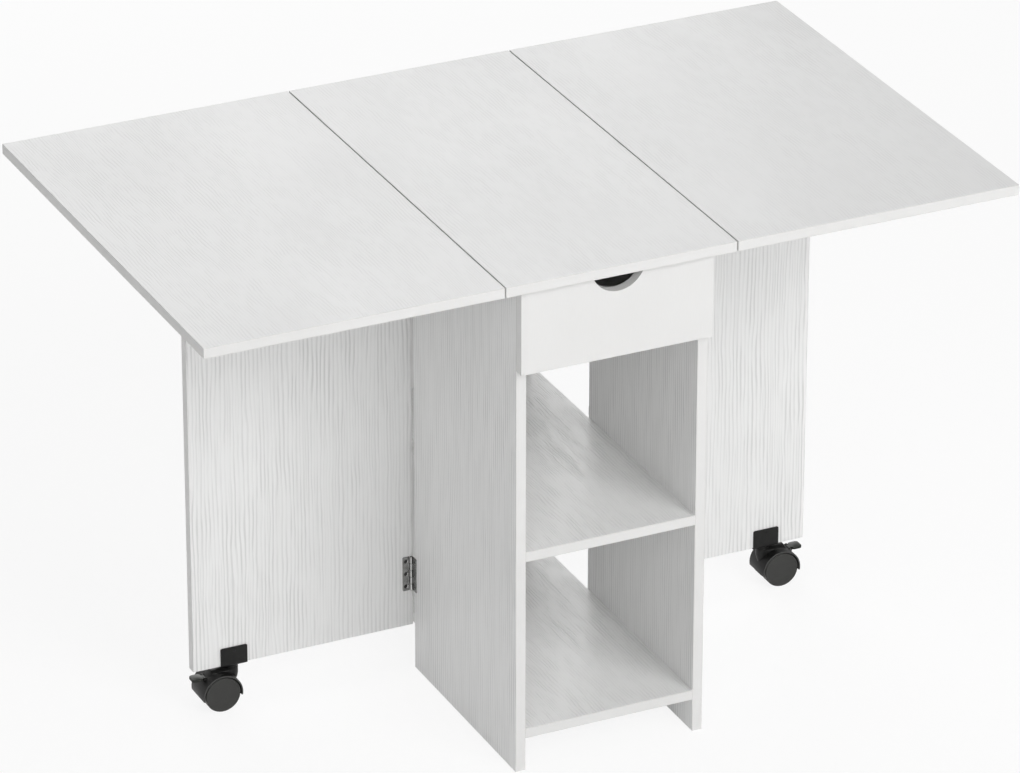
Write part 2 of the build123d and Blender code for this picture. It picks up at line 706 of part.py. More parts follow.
drawer_cam_joints = [
    ray((sign * (box_half - box_board / 2), drawer_back_face_y, height), (0, 1, 0))
    for _, sign in sides
    for height in box_fitting_heights
]
drawer_cam_rays = [
    ray((sign * (box_half - box_board), drawer_back_face_y + cam_inset, height), (sign, 0, 0))
    for _, sign in sides
    for height in box_fitting_heights
]
back_screw_rays = [
    ray((sign * box_half, box_rear_y - box_board / 2, height), (-sign, 0, 0))
    for _, sign in sides
    for height in box_fitting_heights
]

with BuildPart() as drawer_front:
    with BuildSketch(Plane.XY.offset(drawer_bottom)):
        with Locations((0, drawer_face_y + board / 2)):
            Rectangle(carcass_width, board)
    extrude(amount=drawer_front_height)
    fillet(drawer_front.edges(), edge_ease)
    with Locations(ray((0, drawer_face_y, drawer_top - finger_cut_depth + finger_cut_radius), (0, 1, 0))):
        Cylinder(finger_cut_radius, 4 * board, mode=Mode.SUBTRACT)
    with Locations(*[back(joint, cam_bolt_bite + fit) for joint in drawer_cam_joints]):
        Cylinder(cam_bolt_radius + fit, 2 * cam_bolt_bite, align=seated, mode=Mode.SUBTRACT)
write(drawer_front.part, "drawer_front")

for side, sign in sides:
    with BuildPart() as box_side:
        with BuildSketch(Plane.XY.offset(box_bottom)):
            with Locations((sign * (box_half - box_board / 2), drawer_back_face_y + box_depth / 2)):
                Rectangle(box_board, box_depth)
        extrude(amount=box_height)
        fillet(box_side.edges().group_by(Axis.Z)[-1].filter_by(Axis.Y), edge_ease)
        with BuildSketch(Plane.YZ.offset(sign * box_half)):
            with Locations((drawer_back_face_y + box_depth / 2, rail_z)):
                Rectangle(2 * box_depth, rail_height + 2 * sliding_gap)
        extrude(amount=-sign * (rail_bite + sliding_gap), mode=Mode.SUBTRACT)
        with BuildSketch(Plane.YZ.offset(sign * (box_half - box_board))):
            with Locations((drawer_back_face_y + box_depth / 2, groove_z)):
                Rectangle(2 * box_depth, bottom_board + fit, align=(Align.CENTER, Align.MIN))
        extrude(amount=sign * bottom_groove_depth, mode=Mode.SUBTRACT)
        with Locations(*drawer_cam_rays):
            Cylinder(small_cam_radius + fit, small_cam_depth + fit, align=seated, mode=Mode.SUBTRACT)
        with Locations(*drawer_cam_joints):
            Cylinder(cam_slot_radius, cam_inset, align=seated, mode=Mode.SUBTRACT)
        for screw in back_screw_rays:
            with Locations(Plane(origin=screw.origin, z_dir=-screw.z_dir)):
                CounterSinkHole(screw_radius + fit, screw_head_radius + fit, box_board)
    write(box_side.part, f"drawer_{side}_side")

with BuildPart() as drawer_back:
    with BuildSketch(Plane.XY.offset(groove_z + bottom_board + fit)):
        with Locations((0, box_rear_y - box_board / 2)):
            Rectangle(2 * (box_half - box_board), box_board)
    extrude(amount=box_height - bottom_groove_lift - bottom_board - fit)
    with Locations(*back_screw_rays):
        Cylinder(screw_radius + fit, back_screw_length + fit, align=seated, mode=Mode.SUBTRACT)
write(drawer_back.part, "drawer_back")

with BuildPart() as drawer_base:
    with BuildSketch(Plane.XY.offset(groove_z)):
        with Locations((0, drawer_back_face_y + box_depth / 2)):
            Rectangle(2 * (box_half - box_board + bottom_groove_depth - fit), box_depth)
    extrude(amount=bottom_board)
write(drawer_base.part, "drawer_base")

with BuildPart() as drawer_cams:
    with Locations(*drawer_cam_rays):
        Cylinder(small_cam_radius, small_cam_depth, align=seated)
    with Locations(*drawer_cam_joints):
        Cylinder(cam_slot_radius, cam_slot_length, align=seated, mode=Mode.SUBTRACT)
write(drawer_cams.part, "drawer_cams")

with BuildPart() as drawer_cam_bolts:
    with Locations(*[back(joint, cam_bolt_bite) for joint in drawer_cam_joints]):
        Cylinder(cam_bolt_radius, cam_bolt_bite + cam_inset, align=seated)
    with Locations(*[back(joint, -cam_bolt_neck) for joint in drawer_cam_joints]):
        Cylinder(cam_bolt_head_radius, cam_bolt_head_length, align=seated)
write(drawer_cam_bolts.part, "drawer_cam_bolts")
write(screws(back_screw_rays, back_screw_length).part, "drawer_back_screws")

# The rails that the drawer slides on

with BuildPart() as drawer_rails:
    for _, sign in sides:
        with BuildSketch(Plane.YZ.offset(sign * inner_half)):
            with Locations((rail_middle_y, rail_z)):
                RectangleRounded(rail_length, rail_height, edge_ease)
        extrude(amount=-sign * (box_side_gap + rail_bite))
    for screw in rail_screw_rays:
        with Locations(Plane(origin=screw.origin, z_dir=-screw.z_dir)):
            CounterSinkHole(screw_radius + fit, screw_head_radius + fit, box_side_gap + rail_bite)
write(drawer_rails.part, "drawer_rails")
write(screws(rail_screw_rays, rail_screw_length).part, "rail_screws")
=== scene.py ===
# A white drop leaf cart, opened out as a table: foil-faced boards, butt hinges, gate legs on
# braked twin-wheel casters and a drawer with a round finger cut. Metres, in the frame of the solids.

import json
import logging
import math
from dataclasses import dataclass
from enum import Enum
from typing import Any, Optional, Sequence, Union

import bpy
import numpy as np
from mathutils import Matrix, Vector


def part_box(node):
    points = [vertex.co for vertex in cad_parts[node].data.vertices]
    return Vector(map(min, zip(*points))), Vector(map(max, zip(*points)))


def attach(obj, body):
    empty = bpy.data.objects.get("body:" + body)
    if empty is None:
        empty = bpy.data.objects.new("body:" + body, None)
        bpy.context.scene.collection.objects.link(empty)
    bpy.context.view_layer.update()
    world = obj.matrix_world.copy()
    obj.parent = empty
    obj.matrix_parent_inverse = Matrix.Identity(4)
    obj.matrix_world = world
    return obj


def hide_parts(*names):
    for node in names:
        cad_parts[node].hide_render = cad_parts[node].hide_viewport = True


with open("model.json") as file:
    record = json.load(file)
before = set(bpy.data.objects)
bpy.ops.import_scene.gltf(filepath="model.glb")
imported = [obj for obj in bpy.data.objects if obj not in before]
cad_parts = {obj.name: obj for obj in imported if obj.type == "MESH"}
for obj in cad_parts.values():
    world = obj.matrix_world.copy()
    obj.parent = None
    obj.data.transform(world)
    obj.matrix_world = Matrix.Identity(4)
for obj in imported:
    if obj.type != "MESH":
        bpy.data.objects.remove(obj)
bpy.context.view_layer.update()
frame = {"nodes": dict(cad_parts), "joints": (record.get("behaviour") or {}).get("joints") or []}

Points = np.ndarray
Place = Sequence[float]
Colour = tuple[float, float, float]
Value = Union["Shade", float, tuple]

X, Y, Z = 0, 1, 2

log = logging.getLogger("cart")


# Shader maths


class Shade:
    """One output socket of a finish, which can be added, multiplied and so on like a number."""

    def __init__(self, graph: "Graph", socket: bpy.types.NodeSocket) -> None:
        """Wraps one output socket of a graph."""
        self.graph, self.socket = graph, socket

    def __add__(self, other: Value) -> "Shade":
        """The sum of two values."""
        return self.graph.maths("ADD", self, other)

    def __sub__(self, other: Value) -> "Shade":
        """This value less another."""
        return self.graph.maths("SUBTRACT", self, other)

    def __rsub__(self, other: Value) -> "Shade":
        """A number less this value."""
        return self.graph.maths("SUBTRACT", other, self)

    def __mul__(self, other: Value) -> "Shade":
        """The product of two values."""
        return self.graph.maths("MULTIPLY", self, other)

    def __pow__(self, other: Value) -> "Shade":
        """This value to a power."""
        return self.graph.maths("POWER", self, other)

    __radd__ = __add__

    def size(self) -> "Shade":
        """The value without its sign."""
        return self.graph.maths("ABSOLUTE", self, 0.0)

    def sine(self) -> "Shade":
        """The sine of the value, in radians."""
        return self.graph.maths("SINE", self, 0.0)

    def most(self, other: Value) -> "Shade":
        """The larger of two values."""
        return self.graph.maths("MAXIMUM", self, other)

    def ease(self, low: float, high: float) -> "Shade":
        """A smooth step, from 0 at the low value to 1 at the high one, level at both."""
        return self.graph.out("MapRange", {0: self, 1: low, 2: high}, interpolation_type="SMOOTHSTEP")


class Graph:
    """The node graph of one finish, or of the studio's sky."""

    def __init__(self, owner: Union[bpy.types.Material, bpy.types.World]) -> None:
        """Empties the graph of a material or a world and gives it an output."""
        owner.use_nodes = True
        self.tree = owner.node_tree
        self.tree.nodes.clear()
        self.output = self.node(f"Output{type(owner).__name__}")

    def node(self, kind: str, sockets: Optional[dict] = None, **settings: Any) -> bpy.types.Node:
        """Adds one node.

        Args:
            kind: The node's type, less its first word.
            sockets: Values or links of its inputs, by name or place. A colour may have three parts.
            **settings: Its properties, which are set first.

        Returns:
            The node.
        """
        made = self.tree.nodes.new(f"ShaderNode{kind}")
        for name, setting in settings.items():
            setattr(made, name, setting)
        for key, value in (sockets or {}).items():
            if isinstance(value, Shade):
                self.tree.links.new(value.socket, made.inputs[key])
            else:
                coloured = made.inputs[key].type == "RGBA"
                made.inputs[key].default_value = (*value, 1.0) if coloured else value
        return made

    def out(
        self, kind: str, sockets: Optional[dict] = None, output: Union[int, str] = 0, **settings: Any
    ) -> Shade:
        """Adds one node and gives one of its outputs."""
        return Shade(self, self.node(kind, sockets, **settings).outputs[output])

    def maths(self, operation: str, first: Value, second: Value) -> Shade:
        """One arithmetic step on two values."""
        return self.out("Math", {0: first, 1: second}, operation=operation)

    def mix(self, share: Value, first: Value, second: Value) -> Shade:
        """A blend of two colours: the first where the share is 0, the second where it is 1."""
        return self.out("Mix", {0: share, 6: first, 7: second}, 2, data_type="RGBA")

    def split(self, vector: Shade) -> list[Shade]:
        """The three parts of a vector."""
        return [Shade(self, part) for part in self.node("SeparateXYZ", {0: vector}).outputs]

    def place(self) -> list[Shade]:
        """The three coordinates of a point of the piece, in metres."""
        return self.split(self.out("TexCoord", output="Object"))

    def facing(self) -> list[Shade]:
        """The three parts of the surface's outward direction, in the piece's own frame."""
        return self.split(self.out("TexCoord", output="Normal"))

    def cells(self, kind: str, parts: Sequence[Value], output: str, **more: float) -> Shade:
        """A texture read at three coordinates, one unit to a cell."""
        where = self.out("CombineXYZ", dict(enumerate(parts)))
        return self.out(f"Tex{kind}", {"Vector": where, "Scale": 1.0, **more}, output)

    def noise(self, parts: Sequence[Value], detail: float = 2.0, rough: float = 0.5) -> Shade:
        """Cloudy noise around 0.5 at three coordinates, with finer layers of some strength."""
        return self.cells("Noise", parts, "Fac", Detail=detail, Roughness=rough)

    def scaled(self, scale: Sequence[float], detail: float = 2.0, rough: float = 0.5) -> Shade:
        """Cloudy noise over the piece, with so many clouds to the metre along each axis."""
        return self.noise([part * size for part, size in zip(self.place(), scale)], detail, rough)

    def bump(self, height: Shade, depth: float, strength: float) -> Shade:
        """The normal bent by a relief of 0 to 1, so many metres deep."""
        return self.out("Bump", {"Strength": strength, "Distance": depth, "Height": height})

    def principled(self, sockets: dict[str, Value]) -> Shade:
        """The surface shader with its sockets' values or links."""
        return self.out("BsdfPrincipled", sockets)

    def blend(self, share: Value, first: Shade, second: Shade) -> Shade:
        """A mixture of two shaders: the first where the share is 0, the second where it is 1."""
        return self.out("MixShader", {0: share, 1: first, 2: second})

    def show(self, shader: Shade) -> None:
        """Sends a shader to the output."""
        self.tree.links.new(shader.socket, self.output.inputs[0])


# Finishes


@dataclass(frozen=True)
class Finish:
    """A surface finish, which makes its own material."""

    name: str

    def shade(self, graph: Graph) -> dict[str, Value]:
        """What the finish looks like.

        Args:
            graph: The node graph of the finish's material.

        Returns:
            Values and links of the surface shader's sockets, by name.
        """
        raise NotImplementedError

    def material(self) -> bpy.types.Material:
        """Makes the finish's material, or finds it if it has been made.

        Returns:
            The material.
        """
        made = bpy.data.materials.get(self.name)
        if made is None:
            made = bpy.data.materials.new(self.name)
            graph = Graph(made)
            graph.show(graph.principled(self.shade(graph)))
        return made


class Bore(Enum):
    """What shows on walls cut inside a board."""

    CHIPS = "chips"
    BANDED = "banded"


@dataclass(frozen=True)
class FoilBoard(Finish):
    """White embossed foil on both faces of a chipboard panel, with a plain band round its edges.

    The emboss is a set of long soft grooves along the grain. Their spacing is a sine across the
    grain whose phase drifts with slow noise, so that they wander, bunch and merge as real ones do.
    """

    across: int = X
    along: int = Y
    lowest: Place = (0.0, 0.0, 0.0)
    highest: Place = (1.0, 1.0, 1.0)
    bore: Bore = Bore.CHIPS
    plain: bool = False
    spacing: float = 0.0062
    contrast: float = 1.0
    depth: float = 0.00032
    breaks: float = 1.0
    glue_line: float = 0.001
    cut_margin: float = 0.0025
    light: Colour = (0.85, 0.85, 0.845)
    # Colour at the bottom of the grooves: painted shade of the emboss, on top of its bump.
    groove: Colour = (0.66, 0.66, 0.655)
    band: Colour = (0.79, 0.79, 0.785)
    seam: Colour = (0.66, 0.65, 0.63)
    core_light: Colour = (0.62, 0.47, 0.3)
    core_dark: Colour = (0.36, 0.25, 0.15)

    def grooves(self, graph: Graph, across: Shade, along: Shade) -> Shade:
        """The emboss: 0 on the ridges, 1 at the bottom of the darkest grooves.

        Args:
            graph: The node graph.
            across: Metres across the grain.
            along: Metres along the grain.

        Returns:
            The groove mask.
        """

        def cloud(wide: float, long: float, seed: float, detail: float = 1.0) -> Shade:
            """Noise with so many clouds to the metre across and along the grain."""
            return graph.noise((across * wide, along * long, seed), detail)

        turn, breaks = 2 * math.pi, self.breaks
        wander = cloud(24.0, 4.0 * breaks, 0.3) * (1.8 * turn)
        wander = wander + cloud(62.0, 17.0 * breaks, 4.4) * (0.75 * turn)
        coarse = (across * (turn / self.spacing) + wander).sine().ease(-0.35, 1.0)
        fine = (across * (turn / (0.7 * self.spacing)) + wander * 1.3).sine().ease(0.0, 1.0)
        swap = cloud(20.0, 7.0, 5.2).ease(0.42, 0.68) * 0.75
        fade = cloud(80.0, 11.0 * breaks, 2.7, 2.0).ease(0.34, 0.62)
        broad = cloud(5.0, 3.0, 8.8).ease(0.3, 0.6)
        least = 0.4 / breaks
        lines = coarse * (1.0 - swap) + fine * swap
        return lines * (least + fade * (1.0 - least)) * (0.62 + broad * 0.38)

    def rim(self, part: Shade, axis: int, away: float) -> Shade:
        """0 inside the board and 1 within so much of its two ends along an axis."""
        low, half = self.lowest[axis], (self.highest[axis] - self.lowest[axis]) / 2
        return (part - (low + half)).size().ease(half - away, half - 0.8 * away)

    def shade(self, graph: Graph) -> dict[str, Value]:
        """Foil on the faces, band on the outer edges, chips or band in what is cut inside."""
        place = graph.place()
        thick = X + Y + Z - self.across - self.along
        across, along, depth = place[self.across], place[self.along], place[thick]
        on_face = graph.facing()[thick].size().ease(0.55, 0.85)
        fibre = graph.noise((across * 1400.0, along * 60.0, depth * 400.0))
        cloud = graph.noise((across * 6.0, along * 3.0, depth * 6.0))
        band = graph.mix(cloud * 0.3 + fibre * 0.2, self.band, self.seam)
        if self.plain:
            face, relief = band, fibre * 0.2
        else:
            groove = self.grooves(graph, across, along)
            # The faces darken towards the grooves' colour as painted shade of the emboss, with random
            # clouds.
            face = graph.mix(groove * self.contrast + (cloud - 0.5) * 0.3, self.light, self.groove)
            relief = (1.0 - groove) * 0.88 + fibre * 0.12
        edge = graph.mix(self.rim(depth, thick, self.glue_line) * 0.6, band, self.seam)
        if self.bore is Bore.CHIPS:
            inside = [1.0 - self.rim(place[n], n, self.cut_margin) for n in (self.across, self.along)]
            chips = graph.cells("Voronoi", (across * 700.0, along * 700.0, depth * 900.0), "Color")
            core = graph.mix(graph.split(chips)[0], self.core_dark, self.core_light)
            edge = graph.mix(inside[0] * inside[1], edge, core)
        return {
            "Base Color": graph.mix(on_face, edge, face),
            "Roughness": 0.36 + cloud * 0.1 + fibre * 0.06,
            "Normal": graph.bump(relief * on_face + fibre * 0.1 * (1.0 - on_face), self.depth, 0.6),
        }


@dataclass(frozen=True)
class SatinSteel(Finish):
    """Zinc-plated steel: brushed, softly clouded, and darker on its uncoated cut edges."""

    tone: Colour
    dull: Colour
    rough: float
    brushed: int = Z
    # Cut-edge tone; RolledSteel also uses it as painted shade in the rolls' creases.
    bare: Colour = (0.12, 0.12, 0.118)

    def shade(self, graph: Graph) -> dict[str, Value]:
        """Fine lines along one axis over soft clouds, with the ends of that axis bare."""
        scale = [2600.0] * 3
        scale[self.brushed] = 90.0
        lines = graph.scaled(scale)
        cloud = graph.scaled([120.0] * 3)
        cut = graph.facing()[self.brushed].size().ease(0.6, 0.9)
        plated = graph.mix(cloud.ease(0.25, 0.75), self.tone, self.dull)
        return {
            "Base Color": graph.mix(cut, plated, self.bare),
            "Roughness": self.rough + (cloud - 0.5) * 0.16 + (lines - 0.5) * 0.08,
            "Metallic": 1.0,
            "Normal": graph.bump(lines * 0.7 + cloud * 0.3, 0.000012, 0.4),
        }


@dataclass(frozen=True)
class RolledSteel(SatinSteel):
    """Zinc-plated steel of an upright hinge, with a painted highlight on the rolls' crown and painted shade
    in their creases.
    """

    # Colour of the painted highlight on the rolls' crown.
    rubbed: Colour = (0.66, 0.66, 0.65)

    def shade(self, graph: Graph) -> dict[str, Value]:
        """Paints the highlight and the crease shade by how far the surface faces outwards and forwards at
        once.
        """
        sockets = super().shade(graph)
        outwards = graph.facing()[X] * graph.maths("SIGN", graph.place()[X], 0.0)
        crown = (outwards - graph.facing()[Y]) * math.sqrt(0.5)
        # Painted highlight where the roll faces outwards and forwards.
        colour = graph.mix(crown.ease(0.94, 0.998), sockets["Base Color"], self.rubbed)
        # Painted shade in the creases, where the roll faces back towards its plates.
        sockets["Base Color"] = graph.mix(crown.ease(0.15, 0.66), self.bare, colour)
        return sockets


@dataclass(frozen=True)
class Moulded(Finish):
    """Moulded plastic or enamel with a fine grain, a little lighter where dust dulls it and where a
    highlight is painted on.
    """

    tone: Colour
    dusty: Colour
    rough: float
    grain: float
    relief: float
    gloss: float = 0.5
    dusting: float = 0.55

    def worn(self, graph: Graph) -> Value:
        """Where a highlight is painted on, 0 to 1: none here."""
        return 0.0

    def shade(self, graph: Graph) -> dict[str, Value]:
        """A fine even grain in the relief, soft clouds of dust in the colour and the roughness, and any
        painted highlight in the colour.
        """
        grain = graph.scaled([self.grain] * 3)
        dust = graph.scaled([140.0] * 3, 4.0, 0.6)
        # Lighter where there is dust, and where a highlight is painted on.
        paler = dust.ease(0.35, 0.8) * self.dusting + grain * 0.1 + self.worn(graph)
        return {
            "Base Color": graph.mix(paler, self.tone, self.dusty),
            "Roughness": self.rough + (dust - 0.5) * 0.22 + (grain - 0.5) * 0.08,
            "Specular IOR Level": self.gloss,
            "Normal": graph.bump(grain, self.relief, 0.6),
        }


@dataclass(frozen=True)
class RimmedHood(Moulded):
    """Black moulded hood whose two round rims are painted a lighter grey, a painted highlight."""

    middle: float = 0.0
    half: float = 0.0227

    def worn(self, graph: Graph) -> Value:
        """The painted highlight: grows from 1 mm short of either rim out to it."""
        return (graph.place()[Y] - self.middle).size().ease(self.half - 0.001, self.half - 0.0002)


@dataclass(frozen=True)
class TurnedDisc(Finish):
    """Grey moulded wheel: faint rings about its axle, a scuffed tread and a fine grain."""

    axle_x: float
    axle_z: float
    tread: float
    tone: Colour = (0.043, 0.043, 0.041)
    scuff: Colour = (0.066, 0.065, 0.062)

    def shade(self, graph: Graph) -> dict[str, Value]:
        """Rings by the distance from the axle, with scuffs that grow towards the tread."""
        x, _, z = graph.place()
        away = ((x - self.axle_x) ** 2.0 + (z - self.axle_z) ** 2.0) ** 0.5
        rings = graph.noise((away * 5200.0, 0.4, 0.8))
        patch = graph.scaled([190.0] * 3, 4.0, 0.62)
        grain = graph.scaled([3400.0] * 3)
        scuffed = patch.ease(0.4, 0.75) * (0.15 + away.ease(self.tread * 0.93, self.tread) * 0.85)
        return {
            "Base Color": graph.mix(scuffed + (rings - 0.5) * 0.12, self.tone, self.scuff),
            "Roughness": 0.48 + (patch - 0.5) * 0.2 + (rings - 0.5) * 0.08,
            "Specular IOR Level": 0.22,
            "Normal": graph.bump(rings * 0.5 + grain * 0.5, 0.00002, 0.4),
        }


@dataclass(frozen=True)
class Timber(Finish):
    """Bare pale timber with its pores along the upright axis."""

    tone: Colour = (0.6, 0.43, 0.26)
    pore: Colour = (0.38, 0.25, 0.14)

    def shade(self, graph: Graph) -> dict[str, Value]:
        """Stretched noise for the pores, broad noise for the growth rings."""
        pores = graph.scaled((1500.0, 1500.0, 70.0), 3.0)
        rings = graph.scaled((260.0, 260.0, 12.0))
        return {
            "Base Color": graph.mix(pores.ease(0.4, 0.75) * 0.7 + rings * 0.3, self.tone, self.pore),
            "Roughness": 0.6 + pores * 0.2,
            "Normal": graph.bump(pores, 0.00005, 0.5),
        }


# Shapes


class Ends(Enum):
    """How the first and the last ring of a skin are closed."""

    FANNED = "fanned"
    JOINED = "joined"


@dataclass
class Local:
    """A local frame: an origin and three perpendicular unit directions."""

    origin: Place
    x: Place
    y: Place
    z: Place

    def out(self, points: Points) -> Points:
        """Local points in the cart's frame: the origin plus each coordinate times its direction."""
        return np.asarray(self.origin) + points @ np.array([self.x, self.y, self.z], float)


class Skin:
    """The closed shells of one piece, collected as points and faces."""

    def __init__(self) -> None:
        """Starts with no shell."""
        self.points: list[Points] = []
        self.faces: list[Points] = []
        self.count = 0

    def add(self, rings: Points, ends: Ends = Ends.FANNED) -> None:
        """Adds one closed shell.

        Point j of ring i joins point j + 1 of its ring and point j of the next ring, and each ring
        closes on itself. Fanned ends close on the mean of the end ring; joined ends close the last
        ring on the first. A shell whose signed volume, the sum of its corner tetrahedra, is
        negative is turned the right way out.

        Args:
            rings: Points of the shape rings by points a ring by 3.
            ends: How the end rings are closed.
        """
        rows, across = rings.shape[:2]
        grid = np.arange(rows * across).reshape(rows, across)
        if ends is Ends.JOINED:
            grid = np.vstack([grid, grid[:1]])
        right = np.roll(grid, -1, axis=1)
        quads = np.stack([grid[:-1], right[:-1], right[1:], grid[1:]], axis=-1).reshape(-1, 4)
        points = rings.reshape(-1, 3)
        triangles = [quads[:, [0, 1, 2]], quads[:, [0, 2, 3]]]
        fans = []
        if ends is Ends.FANNED:
            first = rows * across
            points = np.vstack([points, rings[0].mean(0), rings[-1].mean(0)])
            fans.append(np.stack([right[0], grid[0], np.full(across, first)], axis=-1))
            fans.append(np.stack([grid[-1], right[-1], np.full(across, first + 1)], axis=-1))
            triangles += fans
        corner = points[np.vstack(triangles)]
        volume = np.einsum("ij,ij->i", corner[:, 0], np.cross(corner[:, 1], corner[:, 2])).sum()
        for faces in (quads, *fans):
            self.faces.append((faces if volume > 0 else faces[:, ::-1]) + self.count)
        self.points.append(points)
        self.count += len(points)

    def piece(self, name: str, finish: Finish, body: str, slot: str, *nodes: str) -> None:
        """Makes the skin an object that rides on a body.

        Args:
            name: The piece's name.
            finish: Its finish.
            body: The body that it rides on.
            slot: The record's material slot; not used.
            *nodes: The nodes that it stands for.
        """
        mesh = bpy.data.meshes.new(name)
        faces = [face for group in self.faces for face in group.tolist()]
        mesh.from_pydata(np.vstack(self.points).tolist(), [], faces)
        mesh.polygons.foreach_set("use_smooth", np.ones(len(mesh.polygons), bool))
        mesh.set_sharp_from_angle(angle=math.radians(38))
        mesh.materials.append(finish.material())
        mesh.validate()
        made = bpy.data.objects.new(name, mesh)
        bpy.context.scene.collection.objects.link(made)
        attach(made, body)
        if nodes:
            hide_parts(*nodes)
        log.info("%s: %d faces on %s", name, len(faces), body)


def lathe(profile: Points, steps: int = 48) -> Points:
    """Turns a profile about the local z axis.

    A point (r, h) of the profile becomes the ring (r cos a, r sin a, h), a from 0 to a full turn.

    Args:
        profile: Radii and heights, shape (n, 2).
        steps: Points a ring.

    Returns:
        Rings of the shape (n, steps, 3).
    """
    turn = np.linspace(0, 2 * np.pi, steps, endpoint=False)
    radius, height = np.asarray(profile, float).T[..., None]
    return np.stack([radius * np.cos(turn), radius * np.sin(turn), height + 0 * turn], axis=-1)


def mirrored(half: Sequence[Place]) -> Points:
    """A profile and, backwards, its mirror image, in which (r, h) is (r, -h)."""
    return np.vstack([half, np.array(half)[::-1] * (1, -1)])


def box_ring(half_width: Points, half_height: Points, corner: Points, steps: int = 4) -> Points:
    """Rectangles with round corners, one for each row of half sizes.

    Each corner is a quarter circle about (half_width - corner, half_height - corner).

    Args:
        half_width: Half widths, shape (n,) or a number.
        half_height: Half heights.
        corner: Corner radii.
        steps: Steps a corner.

    Returns:
        Points of the shape (n, 4 (steps + 1), 2).
    """
    sizes = np.broadcast_arrays(*map(np.atleast_1d, (half_width, half_height, corner)))
    half_width, half_height, corner = (size[:, None] for size in sizes)
    turn = np.linspace(0, np.pi / 2, steps + 1)
    angle = np.concatenate([turn + quarter * np.pi / 2 for quarter in range(4)])
    sign_x, sign_y = (np.repeat(signs, steps + 1) for signs in ((1, -1, -1, 1), (1, 1, -1, -1)))
    x = sign_x * (half_width - corner) + corner * np.cos(angle)
    y = sign_y * (half_height - corner) + corner * np.sin(angle)
    return np.stack([x, y], axis=-1)


def rounded_prism(profile: Points, low: float, high: float, rounding: float, steps: int = 3) -> Points:
    """A prism along the local z axis with rounded end edges.

    Near each end the profile shrinks by rounding (1 - sin a) while its height runs
    rounding (1 - cos a) from the end, a from 0 to a quarter turn. To shrink, each point moves
    along the mean of its two edge normals, by the amount over the cosine of half the angle
    between them, so that every edge moves by the amount.

    Args:
        profile: Points in order, anticlockwise, shape (n, 2).
        low: The height of one end.
        high: The height of the other.
        rounding: The radius of the end edges.
        steps: Steps of the rounding.

    Returns:
        Rings of the shape (2 (steps + 1), n, 3).
    """
    after = np.roll(profile, -1, axis=0) - profile
    normal = np.stack([after[:, 1], -after[:, 0]], axis=-1)
    normal /= np.linalg.norm(normal, axis=1, keepdims=True)
    mean = normal + np.roll(normal, 1, axis=0)
    mean /= (mean * normal).sum(1, keepdims=True)
    turn = np.linspace(0, np.pi / 2, steps + 1)
    shrink, rise = rounding * (1 - np.sin(turn)), rounding * (1 - np.cos(turn))
    sections = profile - mean * np.concatenate([shrink, shrink[::-1]])[:, None, None]
    heights = np.concatenate([low + rise, (high - rise)[::-1]])
    lifted = np.broadcast_to(heights[:, None, None], (*sections.shape[:2], 1))
    return np.concatenate([sections, lifted], axis=-1)


def arc(centre: Place, radius: float, start: float, end: float, steps: int) -> Points:
    """Points on a circle.

    Args:
        centre: The circle's centre.
        radius: Its radius.
        start: The first angle in degrees.
        end: The last angle in degrees.
        steps: Steps between them.

    Returns:
        Points of the shape (steps + 1, 2): the centre plus radius times (cos a, sin a).
    """
    angle = np.radians(np.linspace(start, end, steps + 1))
    return np.asarray(centre) + radius * np.stack([np.cos(angle), np.sin(angle)], axis=-1)


def ribbon(path: Points, half_width: Points, thickness: float, corner: float) -> Points:
    """A flat strip that follows a path in the local x-y plane, its width along z.

    At each point the section is a rectangle with round corners, set across the path's direction.

    Args:
        path: Points of the middle line, shape (n, 2).
        half_width: Half the width at each point, or at all.
        thickness: The thickness.
        corner: The radius of the section's corners.

    Returns:
        Rings of the shape (n, points a ring, 3).
    """
    ahead = np.gradient(path, axis=0)
    ahead /= np.linalg.norm(ahead, axis=1, keepdims=True)
    side = np.stack([-ahead[:, 1], ahead[:, 0]], axis=-1)
    section = box_ring(thickness / 2, half_width * np.ones(len(path)), corner, 3)
    flat = path[:, None, :] + section[..., :1] * side[:, None, :]
    return np.concatenate([flat, section[..., 1:]], axis=-1)


@dataclass(frozen=True)
class CrossedHead:
    """A round screw head with a cross recess, flat underneath.

    The head is a dome whose height falls off with the square of the distance from its middle. The
    recess takes away its depth times a smooth step that is 1 inside either arm of the cross and
    fades out past the arm's width and length.
    """

    radius: float
    proud: float
    arm: float
    width: float
    depth: float
    rings: int = 16
    spokes: int = 40

    def points(self) -> Points:
        """Makes the head.

        Returns:
            Rings of the shape (rings + 2, spokes, 3), from the middle to the rim and down.
        """
        out = self.radius * np.linspace(0.02, 1, self.rings)
        x, y, _ = np.moveaxis(lathe(np.stack([out, 0 * out], axis=-1), self.spokes), -1, 0)

        def inside(distance: Points, limit: float) -> Points:
            """1 within the limit, 0 at 1.5 times it, smooth between."""
            t = np.clip((1.5 * limit - distance) / (0.5 * limit), 0, 1)
            return t * t * (3 - 2 * t)

        arms = [inside(np.abs(u), self.width) * inside(np.abs(v), self.arm) for u, v in ((x, y), (y, x))]
        dome = self.proud * (1 - 0.6 * (x**2 + y**2) / self.radius**2)
        bottom = -self.depth * 1.2
        under = lathe([(self.radius, bottom), (0.02 * self.radius, bottom)], self.spokes)
        return np.concatenate([np.stack([x, y, dome - self.depth * np.maximum(*arms)], axis=-1), under])


